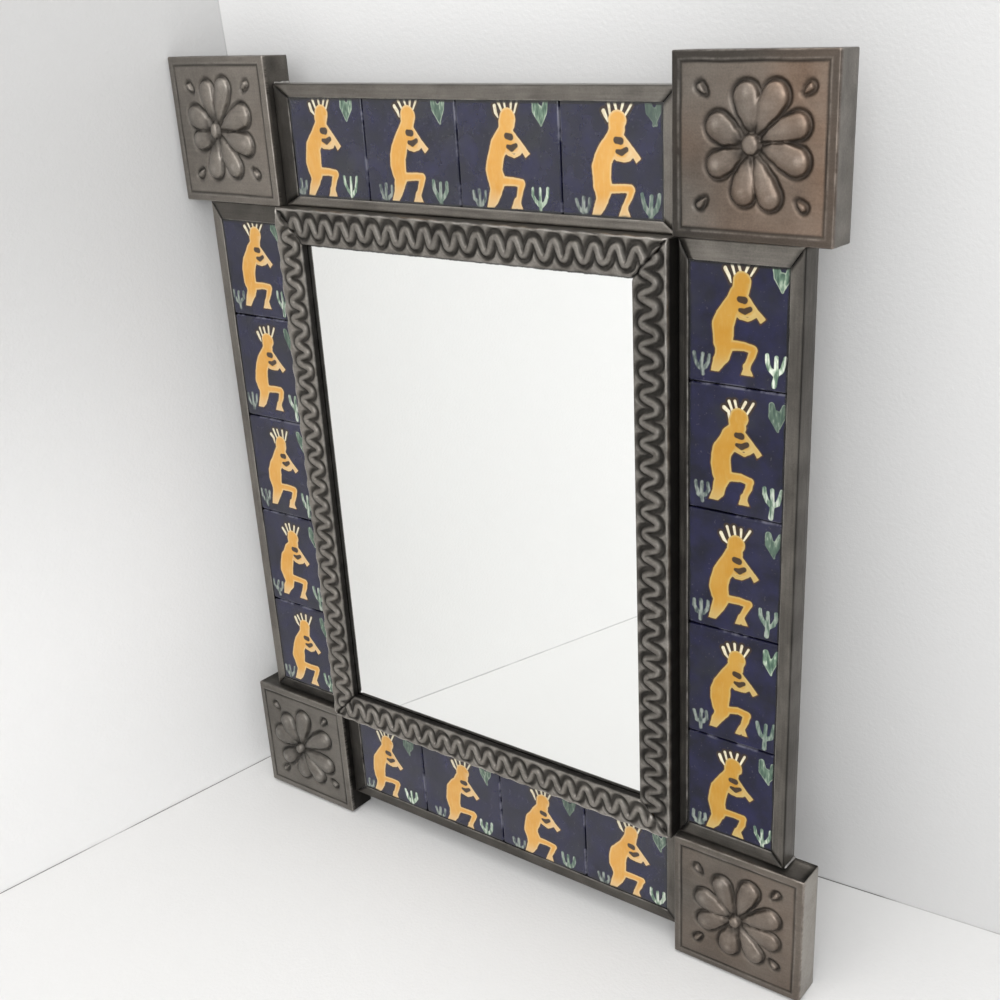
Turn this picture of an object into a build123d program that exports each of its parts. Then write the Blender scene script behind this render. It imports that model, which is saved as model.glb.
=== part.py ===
from build123d import *
import os
from math import asin, atan2, cos, degrees, hypot, radians, sin

os.makedirs("parts", exist_ok=True)

# A wall mirror in folded tin: an embossed moulding round the glass, four trays of glazed tiles
# round the moulding, and an open-backed embossed box on each corner.
# Every piece is built lying on its back: x to the right, y up the wall, z out from the wall.
# stand_up then turns it to hang: +X right, +Z up, with the wall at y = 0 and the front facing -Y.

# Tin sheet, millimetres throughout.
sheet = 0.5
bend_radius = 1.0  # outside of a folded edge

# Glazed tiles and the trays that hold them.
tile_size = 50.0
tile_thick = 6.0
tile_gap = 0.8
tile_bevel = 0.8
row_of_tiles = range(1, 5)
column_of_tiles = range(1, 6)
tile_side_play = 0.3
end_play_across = 1.0
end_play_down = 2.6
packing_thick = 3.2
packing_play = 0.5
lip_outer = 5.9
lip_inner = 4.7
lip_end_narrow = 6.2
lip_end_wide = 8.6  # the end lip cut last, from what the sheet left over
lip_slit = 0.6  # cut that opens each corner of the folded lip

# Corner boxes.
tray_setback = 11.4  # how far a tray's outer wall lies inside the box's outer wall
box_depth = 14.5
rim_width = 4.0
panel_sink = 0.4
step_wall = 0.3
petals = 8
petal_root = 3.6  # from the flower's centre out to the petal's narrow end
petal_length = 17.4
petal_width = 8.6
petal_root_width = 2.0
petal_height = 1.8
petal_slopes = ((0.0, 1.0), (0.62, 0.76), (1.0, 0.34))  # share of the height, share of the outline
round_points = 6  # corners that round the broad end of a petal or drop
button_radius = 2.9
button_top_radius = 1.7
button_height = 1.5
button_points = 12
drop_offset_x = 20.3
drop_offset_y = 18.6
drop_length = 6.6
drop_width = 5.4
drop_root_width = 2.0
drop_height = 1.2
drop_slopes = ((0.0, 1.0), (1.0, 0.45))

# Moulding round the glass.
moulding_width = 15.2
moulding_depth = 18.3
glass_sink = 3.0  # from the moulding's face back to the glass
glass_hem = 3.2  # width of the hem that lies on the glass
hem_bend = 0.9
wave_pitch = 9.5
wave_border = 1.5
wave_notch_length = 6.4
wave_notch_base = 5.8
wave_notch_tip = 1.4
wave_notch_depth = 0.3
wave_mitre_margin = 1.2

# Glass, backing board and the tabs that hold them.
glass_thick = 3.0
glass_cover = 8.0  # how far the glass runs under the moulding on each side
board_thick = 3.0
board_play = 0.4
tab_width = 10.0
tab_foot = 8.0
tab_leg = 6.0
tab_inset = 50.0  # from the corner of the frame's inside to the middle of a tab

# Hanger: a tin bar across the back, a strap folded round the wire, and the ring.
bar_height = 12.0
bar_above_tabs = 8.5
bar_clear = 4.5  # from the wall to the bar
bar_foot_recess = 0.5  # from the wall to the edge of the bar's turned ends
axis_in_bar = 2.5  # ring's axis above the bar's lower edge
wire_radius = 1.1
wire_play = 0.1
ring_width = 19.4  # top run, between the corners where the sides would meet it
ring_drop = 14.8  # from the top run to the corner where the sides would meet
ring_bend = 2.2
ring_bend_chords = 3  # straight lengths that make up each bend of the wire
strap_width = 9.0
strap_leaf = 7.5

# Solder run in the corner between each tray and box.
solder_leg = 1.3

# Sizes that follow from the ones above.
tray_width = tile_size + 2 * (tile_side_play + sheet)
tray_depth = sheet + packing_thick + tile_thick + sheet
tile_run_across = len(row_of_tiles) * (tile_size + tile_gap) - tile_gap
tile_run_down = len(column_of_tiles) * (tile_size + tile_gap) - tile_gap
length_across = tile_run_across + 2 * (end_play_across + sheet)
length_down = tile_run_down + 2 * (end_play_down + sheet)
box_size = tray_width + tray_setback
box_centre_x = length_across / 2 + box_size / 2
box_centre_y = length_down / 2 + box_size / 2
view_width = length_across - 2 * moulding_width
view_height = length_down - 2 * moulding_width
glass_front = moulding_depth - glass_sink
board_back = glass_front - glass_thick - board_thick
bar_edge = length_down / 2 - tab_inset + tab_width / 2 + bar_above_tabs
ring_axis_y = bar_edge + axis_in_bar
ring_axis_z = bar_clear - sheet - wire_play - wire_radius
bottom = (Align.CENTER, Align.CENTER, Align.MIN)
stand_up = Rot(90, 0, 0)

# Each side: its name, its turn about z, its length, how far from the centre its tray and moulding
# meet, the numbers of its tiles, and the way they are counted (left to right, top to bottom). A
# tray's wider end lip is the one over tile 1.
sides = [
    ("top", 0, length_across, length_down / 2, row_of_tiles, 1),
    ("bottom", 180, length_across, length_down / 2, row_of_tiles, -1),
    ("left", 90, length_down, length_across / 2, column_of_tiles, -1),
    ("right", -90, length_down, length_across / 2, column_of_tiles, 1),
]


def save(shape, name):
    export_step(stand_up * shape, f"parts/{name}.step")


def on_side(turn, distance):
    # Local +y points outwards from the glass, and y = 0 is the wall shared by tray and moulding.
    return Rot(0, 0, turn) * Pos(0, distance, 0)


def front_edges(block):
    return block.edges().group_by(Axis.Z)[-1]


def folded_block(length, width, depth, radius):
    block = Box(length, width, depth, align=bottom)
    return fillet(front_edges(block), radius)


def teardrop(length, width, root_width, scale, level):
    # Outline along +x from its narrow root at x = 0, drawn smaller about its middle by scale.
    end_radius = width / 2
    end_centre = length - end_radius
    sweep_half = 90 + degrees(asin((end_radius - root_width / 2) / end_centre))
    points = [(0, root_width / 2), (0, -root_width / 2)]
    for step in range(round_points):
        angle = radians(sweep_half * (2 * step / (round_points - 1) - 1))
        points.append((end_centre + end_radius * cos(angle), end_radius * sin(angle)))
    middle = end_centre - end_radius / 2
    return [(middle + (x - middle) * scale, y * scale, level) for x, y in points]


def button_outline(radius, level):
    angles = [radians(360 * point / button_points) for point in range(button_points)]
    return [(radius * cos(angle), radius * sin(angle), level) for angle in angles]


def faceted_dome(outlines):
    # Flat facets from the widest outline up to the smallest.
    facets = [Face(Wire.make_polygon(outlines[0])), Face(Wire.make_polygon(outlines[-1]))]
    for lower, upper in zip(outlines, outlines[1:]):
        for first in range(len(lower)):
            second = (first + 1) % len(lower)
            facets.append(Face(Wire.make_polygon([lower[first], lower[second], upper[second], upper[first]])))
    return Solid(Shell(facets))


def domed_teardrop(length, width, root_width, height, slopes):
    return faceted_dome([teardrop(length, width, root_width, scale, rise * height) for rise, scale in slopes])


# The embossed flower: petals, a button and a small drop towards each corner.
def flower(level):
    button_outlines = [button_outline(button_radius, 0), button_outline(button_top_radius, button_height)]
    petal = domed_teardrop(petal_length, petal_width, petal_root_width, petal_height, petal_slopes)
    drop = domed_teardrop(drop_length, drop_width, drop_root_width, drop_height, drop_slopes)
    relief = Pos(0, 0, level) * faceted_dome(button_outlines)
    for number in range(petals):
        turn = (number + 0.5) * 360 / petals
        relief += Rot(0, 0, turn) * Pos(petal_root, 0, level) * petal
    for side_x in (-1, 1):
        for side_y in (-1, 1):
            turn = degrees(atan2(side_y * drop_offset_y, side_x * drop_offset_x))
            place = Pos(side_x * drop_offset_x, side_y * drop_offset_y, level) * Rot(0, 0, turn)
            relief += place * Pos(-drop_length / 2, 0, 0) * drop
    return relief


# Corner box: one folded sheet with a sunk panel and raised flower, its back left open.
def corner_box():
    panel = box_size - 2 * rim_width
    panel_level = box_depth - panel_sink
    skin = folded_block(box_size, box_size, box_depth, bend_radius)
    skin -= Pos(0, 0, panel_level) * Box(panel, panel, box_depth, align=bottom)
    skin += flower(panel_level)
    inside = folded_block(box_size - 2 * sheet, box_size - 2 * sheet, box_depth - sheet, bend_radius - sheet)
    inner_panel = panel + 2 * step_wall
    inside -= Pos(0, 0, panel_level - sheet) * Box(inner_panel, inner_panel, box_depth, align=bottom)
    inside += flower(panel_level - sheet)
    return skin - inside


# Tile tray: a folded channel, closed at both ends, with its lips turned in over the tiles.
def tray(length, wide_end):
    body = folded_block(length, tray_width, tray_depth, bend_radius)
    hollow = folded_block(
        length - 2 * sheet, tray_width - 2 * sheet, tray_depth - 2 * sheet, bend_radius - sheet
    )
    body -= Pos(0, 0, sheet) * hollow
    window_length = length - lip_end_narrow - lip_end_wide
    window_x = wide_end * (lip_end_narrow - lip_end_wide) / 2
    window_width = tray_width - lip_inner - lip_outer
    window = Box(window_length, window_width, tray_depth, align=bottom)
    body -= Pos(window_x, (lip_inner - lip_outer) / 2, sheet) * window
    for end in (-1, 1):
        lip_end = lip_end_wide if end == wide_end else lip_end_narrow
        for side, lip in ((-1, lip_inner), (1, lip_outer)):
            corner_x = end * (length / 2 - bend_radius)
            corner_y = side * (tray_width / 2 - bend_radius)
            run_x = lip_end - bend_radius
            run_y = lip - bend_radius
            turn = degrees(atan2(-side * run_y, -end * run_x))
            slit_length = hypot(run_x, run_y) + lip_slit
            slit = Box(slit_length, lip_slit, tray_depth, align=(Align.MIN, Align.CENTER, Align.MIN))
            body -= Pos(corner_x, corner_y, tray_depth - sheet) * Rot(0, 0, turn) * slit
    return Pos(0, tray_width / 2, 0) * body


def tile():
    block = Box(tile_size, tile_size, tile_thick, align=bottom)
    return chamfer(front_edges(block), tile_bevel)


# Moulding: outer wall, face, inner wall and the hem that lies on the glass, mitred at both ends.
def moulding(length):
    inner = -moulding_width
    corners = [
        (0, 0),
        (0, moulding_depth),
        (inner, moulding_depth),
        (inner, glass_front),
        (inner + glass_hem, glass_front),
        (inner + glass_hem, glass_front + sheet),
        (inner + sheet, glass_front + sheet),
        (inner + sheet, moulding_depth - sheet),
        (-sheet, moulding_depth - sheet),
        (-sheet, 0),
    ]
    section = make_face(Polyline(*corners, close=True))
    face_corners = section.vertices().group_by(Axis.Y)[-1]
    section = fillet(face_corners, hem_bend)
    body = extrude(Plane.YZ * section, length / 2, both=True)
    mitre = Polyline(
        (-length / 2, 0),
        (length / 2, 0),
        (length / 2 - moulding_width, inner),
        (-length / 2 + moulding_width, inner),
        close=True,
    )
    body &= extrude(make_face(mitre), moulding_depth)
    return body - wave_notches(length)


# The wave: two staggered rows of pressed notches leave a ribbon that winds between them.
def wave_notches(length):
    notch = make_face(
        Polyline(
            (-wave_notch_base / 2, 0),
            (wave_notch_base / 2, 0),
            (wave_notch_tip / 2, -wave_notch_length),
            (-wave_notch_tip / 2, -wave_notch_length),
            close=True,
        )
    )
    notch = extrude(notch, wave_notch_depth + bend_radius)
    waves = int(length // wave_pitch)
    level = moulding_depth - wave_notch_depth
    notches = []
    for step in range(2 * waves - 1):
        x = (step - waves + 1) * wave_pitch / 2
        from_outside = (step - waves + 1) % 2 == 0
        reach = wave_border + wave_notch_length if from_outside else moulding_width - wave_border
        half = wave_notch_tip / 2 if from_outside else wave_notch_base / 2
        if abs(x) + half + reach + wave_mitre_margin > length / 2:
            continue
        edge = -wave_border if from_outside else wave_border - moulding_width
        turn = 0 if from_outside else 180
        notches.append(Pos(x, edge, level) * Rot(0, 0, turn) * notch)
    return notches


def glass_pane():
    width = view_width + 2 * glass_cover
    height = view_height + 2 * glass_cover
    return Pos(0, 0, glass_front - glass_thick) * Box(width, height, glass_thick, align=bottom)


def backing_board():
    width = length_across - 2 * (sheet + board_play)
    height = length_down - 2 * (sheet + board_play)
    return Pos(0, 0, board_back) * Box(width, height, board_thick, align=bottom)


# Bent tabs: a leg soldered to the frame's outer wall and a foot turned over the board.
def backing_tabs():
    leg = Pos(0, -sheet / 2, board_back - tab_leg) * Box(tab_width, sheet, tab_leg, align=bottom)
    foot = Pos(0, -tab_foot / 2, board_back - sheet) * Box(tab_width, tab_foot, sheet, align=bottom)
    tab = leg + foot
    tabs = []
    for _, turn, length, distance, _, _ in sides:
        for end in (-1, 1):
            tabs.append(on_side(turn, distance - sheet) * Pos(end * (length / 2 - tab_inset), 0, 0) * tab)
    return Compound(tabs)


# Tin bar across the frame's back, its ends turned towards the wall and soldered to the moulding.
def hanger_bar():
    span = length_across - 2 * sheet
    foot = bar_clear - bar_foot_recess + sheet
    bar = Pos(0, 0, bar_clear) * Box(span, bar_height, sheet, align=bottom)
    for end in (-1, 1):
        bar += Pos(end * (span - sheet) / 2, 0, bar_foot_recess) * Box(sheet, bar_height, foot, align=bottom)
    return Pos(0, bar_edge + bar_height / 2, 0) * bar


# Strap: a leaf soldered to the bar, rolled into an eye round the ring's wire.
def ring_strap():
    eye_radius = wire_radius + wire_play
    # The section is drawn with x out from the wall and y up, centred on the wire.
    section = Circle(eye_radius + sheet)
    section += Pos(bar_clear - sheet / 2 - ring_axis_z, strap_leaf / 2) * Rectangle(sheet, strap_leaf)
    section -= Circle(eye_radius)
    across = Plane(origin=(0, 0, 0), x_dir=(0, 0, 1), z_dir=(-1, 0, 0))
    strap = extrude(across * section, strap_width / 2, both=True)
    return Pos(0, ring_axis_y, ring_axis_z) * strap


# Ring: a triangle of bent wire whose top run turns in the strap's eye. One half is swept and mirrored.
def hanging_ring():
    corners = ((-ring_width / 2, 0), (ring_width / 2, 0), (0, -ring_drop))
    outline = FilletPolyline(*corners, radius=ring_bend, close=True)
    bends = outline.edges().filter_by(GeomType.CIRCLE)
    points = []
    for bend in (bends.sort_by(Axis.X)[-1], bends.sort_by(Axis.Y)[0]):
        points += [bend @ (step / ring_bend_chords) for step in range(ring_bend_chords + 1)]
    points = sorted((point for point in points if point.X > 0), key=lambda point: -point.Y)
    path = Polyline((0, 0), *points, (0, points[-1].Y))
    half = sweep(Plane.YZ * Circle(wire_radius), path=path, transition=Transition.RIGHT)
    return Pos(0, ring_axis_y, ring_axis_z) * (half + mirror(half, Plane.YZ))


# Solder run down the corner where each tray's outer wall meets a box.
def solder_runs():
    section = Polyline((0, 0), (solder_leg, 0)) + Polyline((0, 0), (0, solder_leg))
    section += RadiusArc((solder_leg, 0), (0, solder_leg), solder_leg)
    run = extrude(make_face(section), tray_depth - bend_radius)
    runs = []
    for _, turn, length, distance, _, _ in sides:
        place = on_side(turn, distance + tray_width)
        runs.append(place * Pos(-length / 2, 0, 0) * run)
        runs.append(place * Pos(length / 2, 0, 0) * Rot(0, 0, 90) * run)
    return Compound(runs)


for name, turn, length, distance, numbers, way in sides:
    place = on_side(turn, distance)
    save(place * moulding(length), f"moulding_{name}")
    save(place * tray(length, -way), f"tray_{name}")
    trim = 2 * (sheet + packing_play)
    packing = Box(length - trim, tray_width - trim, packing_thick, align=bottom)
    middle = place * Pos(0, tray_width / 2, sheet)
    save(middle * packing, f"tile_packing_{name}")
    for number in numbers:
        along = way * (number - (len(numbers) + 1) / 2) * (tile_size + tile_gap)
        save(middle * Pos(along, 0, packing_thick) * tile(), f"tile_{name}_{number}")

flower_box = corner_box()
for row, side_y in (("top", 1), ("bottom", -1)):
    for column, side_x in (("left", -1), ("right", 1)):
        save(Pos(side_x * box_centre_x, side_y * box_centre_y, 0) * flower_box, f"corner_box_{row}_{column}")

save(glass_pane(), "mirror_glass")
save(backing_board(), "backing_board")
save(backing_tabs(), "backing_tabs")
save(hanger_bar(), "hanger_bar")
save(ring_strap(), "ring_strap")
save(hanging_ring(), "hanging_ring")
save(solder_runs(), "solder_runs")
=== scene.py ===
import bmesh
import bpy
import numpy as np
from math import atan2, cos, hypot, pi, radians, sin
from mathutils import Matrix, Vector


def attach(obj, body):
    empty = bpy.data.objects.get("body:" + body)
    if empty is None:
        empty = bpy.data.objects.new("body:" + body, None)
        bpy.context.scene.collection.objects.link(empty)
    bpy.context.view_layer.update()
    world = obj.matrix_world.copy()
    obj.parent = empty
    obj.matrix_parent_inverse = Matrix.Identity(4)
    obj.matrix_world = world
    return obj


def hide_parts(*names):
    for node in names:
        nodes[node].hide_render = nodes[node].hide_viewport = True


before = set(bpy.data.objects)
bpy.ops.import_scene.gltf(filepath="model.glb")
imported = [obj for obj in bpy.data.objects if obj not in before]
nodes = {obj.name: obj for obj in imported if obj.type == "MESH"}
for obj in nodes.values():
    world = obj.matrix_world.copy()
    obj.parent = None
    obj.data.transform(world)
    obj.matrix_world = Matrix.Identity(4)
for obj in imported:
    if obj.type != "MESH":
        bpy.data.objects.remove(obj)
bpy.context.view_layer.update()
mm = 0.001
print("frame loaded,", len(nodes), "nodes")

# Sizes shared with the solids. Pieces are drawn lying down, in millimetres: x to the right,
# y up the wall, z out from the wall; toRow stands them up.
sheet = 0.5
layout = {"trayWidth": 51.6, "trayDepth": 10.2, "boxX": 134.2, "boxY": 161.2, "tilePitch": 50.8, "tileBack": 3.7}
# each tray's turn round the glass, length, distance from the middle, and its tiles and the way they count
sides = {
    "top": {"turn": 0, "length": 205.4, "distance": 129.7, "count": 4, "way": 1},
    "bottom": {"turn": 180, "length": 205.4, "distance": 129.7, "count": 4, "way": -1},
    "left": {"turn": 90, "length": 259.4, "distance": 102.7, "count": 5, "way": -1},
    "right": {"turn": -90, "length": 259.4, "distance": 102.7, "count": 5, "way": 1},
}


def toRow(points):
    points = np.asarray(points, float)
    return np.stack([points[:, 0], -points[:, 2], points[:, 1]], axis=1) * mm


def placeOnSide(points, side):
    turn = radians(sides[side]["turn"])
    x, y = points[:, 0], points[:, 1] + sides[side]["distance"]
    return np.stack([x * cos(turn) - y * sin(turn), x * sin(turn) + y * cos(turn), points[:, 2]], axis=1)


def gridFaces(across, up, flip=False):
    first = (np.arange(across - 1)[:, None] * up + np.arange(up - 1)[None, :]).ravel()
    quads = np.stack([first, first + up, first + up + 1, first + 1], axis=1)
    return quads[:, ::-1] if flip else quads


def smoothstep(low, high, value):
    share = np.clip((value - low) / (high - low), 0, 1)
    return share * share * (3 - 2 * share)


def softNoise(x, y, size, seed):
    # smooth value noise from -1 to 1, one bump about every size
    lattice = np.random.default_rng(seed).uniform(-1, 1, (64, 64))
    u, v = x / size + 7.3, y / size + 3.9
    i, j = np.floor(u).astype(int), np.floor(v).astype(int)
    fu, fv = u - i, v - j
    fu, fv = fu * fu * (3 - 2 * fu), fv * fv * (3 - 2 * fv)
    i, j, k, m = i % 64, j % 64, (i + 1) % 64, (j + 1) % 64
    low = lattice[i, j] * (1 - fu) + lattice[k, j] * fu
    high = lattice[i, m] * (1 - fu) + lattice[k, m] * fu
    return low * (1 - fv) + high * fv


def strokeDistance(u, v, stroke):
    # distance to a brush stroke of changing radius, below 0 inside it
    best = np.full(u.shape, 1e3)
    for (ax, ay, ar), (bx, by, br) in zip(stroke, stroke[1:]):
        run = (bx - ax) ** 2 + (by - ay) ** 2
        t = np.clip(((u - ax) * (bx - ax) + (v - ay) * (by - ay)) / run, 0, 1)
        gap = np.hypot(u - ax - t * (bx - ax), v - ay - t * (by - ay)) - ar - t * (br - ar)
        best = np.minimum(best, gap)
    return best


def blendShapes(first, second, soft):
    mix = np.clip(0.5 + 0.5 * (second - first) / soft, 0, 1)
    return second * (1 - mix) + first * mix - soft * mix * (1 - mix)


def addPiece(name, mesh):
    piece = bpy.data.objects.new(name, mesh)
    bpy.context.scene.collection.objects.link(piece)
    return piece


def makeMesh(name, points, faces, marks=None, smooth=True):
    mesh = bpy.data.meshes.new(name)
    mesh.from_pydata(points.tolist(), [], [list(map(int, f)) for f in faces])
    for mark, values in (marks or {}).items():
        layer = mesh.attributes.new(mark, "FLOAT", "POINT")
        layer.data.foreach_set("value", np.asarray(values, np.float32))
    mesh.polygons.foreach_set("use_smooth", [smooth] * len(mesh.polygons))
    mesh.update()
    return addPiece(name, mesh)


def weld(piece, gap=2e-6, outwards=False):
    shape = bmesh.new()
    shape.from_mesh(piece.data)
    bmesh.ops.remove_doubles(shape, verts=shape.verts, dist=gap)
    if outwards:
        bmesh.ops.recalc_face_normals(shape, faces=shape.faces)
    shape.to_mesh(piece.data)
    shape.free()


def setMaterial(piece, material):
    piece.data.materials.clear()
    piece.data.materials.append(material)


def finishPiece(piece, material, slot, body, *stands):
    setMaterial(piece, material)
    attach(piece, body)
    if stands:
        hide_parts(*stands)


def thicken(piece, thickness):
    wall = piece.modifiers.new("sheet", "SOLIDIFY")
    wall.thickness = thickness * mm
    wall.offset = -1.0
    wall.use_even_offset = False


def tubeFaces(rows, around, closed=False, start=0):
    # faces between rows of the same number of points each
    loop = np.arange(around) + start
    after = np.roll(loop, -1)
    faces = []
    for number in range(rows if closed else rows - 1):
        low, high = number * around, (number + 1) % rows * around
        faces += np.stack([loop + low, after + low, after + high, loop + high], 1).tolist()
    return faces


class Flow:
    # an output that runs on to other nodes; sums with it add math nodes
    def __init__(self, tree, socket):
        self.tree, self.socket = tree, socket

    def __add__(self, other):
        return calculate("ADD", self, other)

    def __sub__(self, other):
        return calculate("SUBTRACT", self, other)

    def __rsub__(self, other):
        return calculate("SUBTRACT", other, self)

    def __mul__(self, other):
        return calculate("MULTIPLY", self, other)

    def __truediv__(self, other):
        return calculate("DIVIDE", self, other)

    def clamped(self):
        self.socket.node.use_clamp = True
        return self

    def output(self, key):
        return Flow(self.tree, self.socket.node.outputs[key])


def fill(sockets, values):
    for key, value in values.items():
        if isinstance(value, Flow):
            value.tree.links.new(value.socket, sockets[key])
        else:
            sockets[key].default_value = value


def addNode(kind, inputs=(), output=0, tree=None, **settings):
    # inputs go by number or by name; the tree is that of any flow among them
    inputs = inputs if isinstance(inputs, dict) else dict(enumerate(inputs))
    tree = tree or next(value.tree for value in inputs.values() if isinstance(value, Flow))
    made = tree.nodes.new(kind)
    for name, value in settings.items():
        setattr(made, name, value)
    fill(made.inputs, inputs)
    return Flow(tree, made.outputs[output])


def calculate(operation, first, second=0.0):
    return addNode("ShaderNodeMath", [first, second], operation=operation)


def vectorMath(operation, *inputs, output=0):
    return addNode("ShaderNodeVectorMath", inputs, output, operation=operation)


def combine(x=0.0, y=0.0, z=0.0):
    return addNode("ShaderNodeCombineXYZ", [x, y, z])


def remap(value, fromLow, fromHigh, toLow=0.0, toHigh=1.0, soft=False):
    return addNode("ShaderNodeMapRange", [value, fromLow, fromHigh, toLow, toHigh],
                   interpolation_type="SMOOTHSTEP" if soft else "LINEAR")


def mixColor(share, first, second, mode="MIX"):
    return addNode("ShaderNodeMix", {0: share, 6: first, 7: second}, 2, data_type="RGBA", blend_type=mode)


def ramp(value, low, high, first, second):
    return mixColor(remap(value, low, high), first, second)


def shadeBy(color, level):
    return mixColor(1.0, color, addNode("ShaderNodeCombineColor", [level, level, level]), "MULTIPLY")


def noiseAt(where, scale, detail=3.0, rough=0.55):
    inputs = {"Vector": where, "Scale": scale, "Detail": detail, "Roughness": rough}
    return addNode("ShaderNodeTexNoise", inputs, "Fac")


def objectPlace(tree):
    return addNode("ShaderNodeTexCoord", output="Object", tree=tree)


def readMark(tree, name):
    return addNode("ShaderNodeAttribute", output="Fac", tree=tree, attribute_name=name)


def bump(height, depth):
    return addNode("ShaderNodeBump", {"Strength": 1.0, "Distance": depth, "Height": height})


def newGroup(name, inputs, outputs):
    tree = bpy.data.node_groups.new(name, "ShaderNodeTree")
    for label, default in inputs.items():
        kind = "NodeSocketColor" if isinstance(default, tuple) else "NodeSocketFloat"
        tree.interface.new_socket(label, in_out="INPUT", socket_type=kind).default_value = default
    for label in outputs:
        kind = "NodeSocketColor" if label == "Color" else "NodeSocketFloat"
        tree.interface.new_socket(label, in_out="OUTPUT", socket_type=kind)
    source = tree.nodes.new("NodeGroupInput").outputs
    given = {label: Flow(tree, source[label]) for label in inputs}
    return tree, given, tree.nodes.new("NodeGroupOutput").inputs


def makePatina():
    # aged tin: dark in its hollows from patina and where shade is painted, rubbed bright on its crests and where sheen
    # is painted, clouded between
    tree, given, out = newGroup("tinPatina", {
        "Hollow": 0.0, "Wear_And_Sheen": 0.0, "Warm": 0.0, "Tone_And_Shade": 0.0, "Upright": 0.0, "Brushing": 0.0,
        "Plain": (0.2, 0.19, 0.17, 1), "Stain": (0.05, 0.045, 0.04, 1), "Rub_And_Sheen": (0.45, 0.43, 0.4, 1),
        "Clouding": 0.5, "Roughness": 0.4}, ["Color", "Roughness", "Height"])
    plain, stain, rubAndSheenTin = given["Plain"], given["Stain"], given["Rub_And_Sheen"]
    place = objectPlace(tree)
    clouds = noiseAt(place, 38.0, 4.0, 0.6)
    blots = noiseAt(place, 160.0, 3.0, 0.6)
    grain = noiseAt(place, 1400.0, 2.0, 0.6)
    cloudy = remap(clouds, 0.42, 0.68, soft=True) * given["Clouding"]
    blotted = remap(blots, 0.5, 0.78, soft=True) * given["Clouding"]
    warm = (given["Warm"] * remap(clouds, 0.25, 0.6, 0.55, 1.0)).clamped()
    color = mixColor(warm, plain, mixColor(1.0, plain, (1.12, 0.80, 0.62, 1), "MULTIPLY"))
    # darkened by the dim mark: each box face's own tone, painted shade on the mouldings, and painted sheen as negative
    # values on some box walls
    color = shadeBy(color, 1.0 - given["Tone_And_Shade"])
    color = mixColor(cloudy * 0.55, color, stain)
    color = mixColor(blotted * 0.3, color, stain)
    hollow = (given["Hollow"] * remap(blots, 0.2, 0.7, 1.0, 0.92)).clamped()
    color = mixColor(hollow, color, stain)
    # crests rubbed bright, plus painted highlights and painted sheen where the mark is set for them
    rub_and_sheen = (given["Wear_And_Sheen"] * remap(blots, 0.32, 0.62)).clamped()
    bright = mixColor(1.0, rubAndSheenTin, (1.1, 0.84, 0.68, 1), "MULTIPLY")
    color = mixColor(rub_and_sheen, color, mixColor(warm * 0.8, rubAndSheenTin, bright))
    # brushed streaks, across the piece or up it
    flatLines = noiseAt(vectorMath("MULTIPLY", place, (40.0, 900.0, 900.0)), 1.0, 3.0, 0.6)
    tallLines = noiseAt(vectorMath("MULTIPLY", place, (900.0, 900.0, 40.0)), 1.0, 3.0, 0.6)
    lines = addNode("ShaderNodeMix", {0: given["Upright"], 2: flatLines, 3: tallLines})
    lines = (lines - 0.5) * given["Brushing"]
    fill(out, {
        "Color": shadeBy(color, remap(grain, 0.3, 0.7, 0.9, 1.1) + lines),
        "Roughness": (given["Roughness"] + cloudy * 0.12 + hollow * 0.2 - rub_and_sheen * 0.1).clamped(),
        "Height": blots * 0.6 + grain * 0.08})
    return tree


def makeDust():
    tree, given, out = newGroup("settledDust", {"Color": (0.5, 0.5, 0.5, 1), "Roughness": 0.3, "Amount": 0.2},
                                ["Color", "Roughness"])
    place = objectPlace(tree)
    film = remap(noiseAt(place, 22.0, 5.0, 0.65), 0.45, 0.75, soft=True)
    specks = remap(noiseAt(place, 900.0, 1.0, 0.5), 0.71, 0.76)
    amount = (film * 0.35 + specks).clamped() * given["Amount"]
    fill(out, {"Color": mixColor(amount, given["Color"], (0.55, 0.53, 0.5, 1)),
               "Roughness": (given["Roughness"] + amount * 0.5).clamped()})
    return tree


patinaGroup = makePatina()
dustGroup = makeDust()


def newMaterial(name):
    made = bpy.data.materials.new(name)
    made.use_nodes = True
    return made, made.node_tree, made.node_tree.nodes["Principled BSDF"].inputs


def dusted(color, rough):
    # the group's colour; its roughness is another output of the same node
    inputs = {"Color": color, "Roughness": rough, "Amount": 0.05}
    return addNode("ShaderNodeGroup", inputs, "Color", node_tree=dustGroup)


def tinMaterial(name, plain, stain, rub_and_sheen, clouding, rough, brushing=0.0):
    made, tree, shader = newMaterial(name)
    inputs = {mark.title(): readMark(tree, mark) for mark in ("hollow", "wear_and_sheen", "warm", "tone_and_shade", "upright")}
    inputs.update({"Brushing": brushing, "Plain": (*plain, 1), "Stain": (*stain, 1), "Rub_And_Sheen": (*rub_and_sheen, 1),
                   "Clouding": clouding, "Roughness": rough})
    patina = addNode("ShaderNodeGroup", inputs, "Color", tree=tree, node_tree=patinaGroup)
    fill(shader, {"Base Color": patina, "Roughness": patina.output("Roughness"), "Metallic": 0.85,
                  "Normal": bump(patina.output("Height"), 0.0003)})
    return made


agedTin = (0.205, 0.188, 0.166), (0.0125, 0.0112, 0.0098), (0.43, 0.405, 0.37)
embossedTin = tinMaterial("embossedTin", *agedTin, 0.4, 0.36, 0.3)
foldedTin = tinMaterial("foldedTin", *agedTin, 0.45, 0.34, 0.7)
backTin = tinMaterial("backTin", (0.25, 0.24, 0.22), (0.08, 0.07, 0.06), (0.5, 0.48, 0.45), 0.8, 0.4, 0.5)
dullSolder = tinMaterial("dullSolder", (0.3, 0.29, 0.275), (0.1, 0.09, 0.08), (0.6, 0.59, 0.57), 0.5, 0.4)
drawnWire = tinMaterial("drawnWire", (0.3, 0.29, 0.27), (0.08, 0.07, 0.06), (0.5, 0.49, 0.47), 0.5, 0.35)


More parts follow.
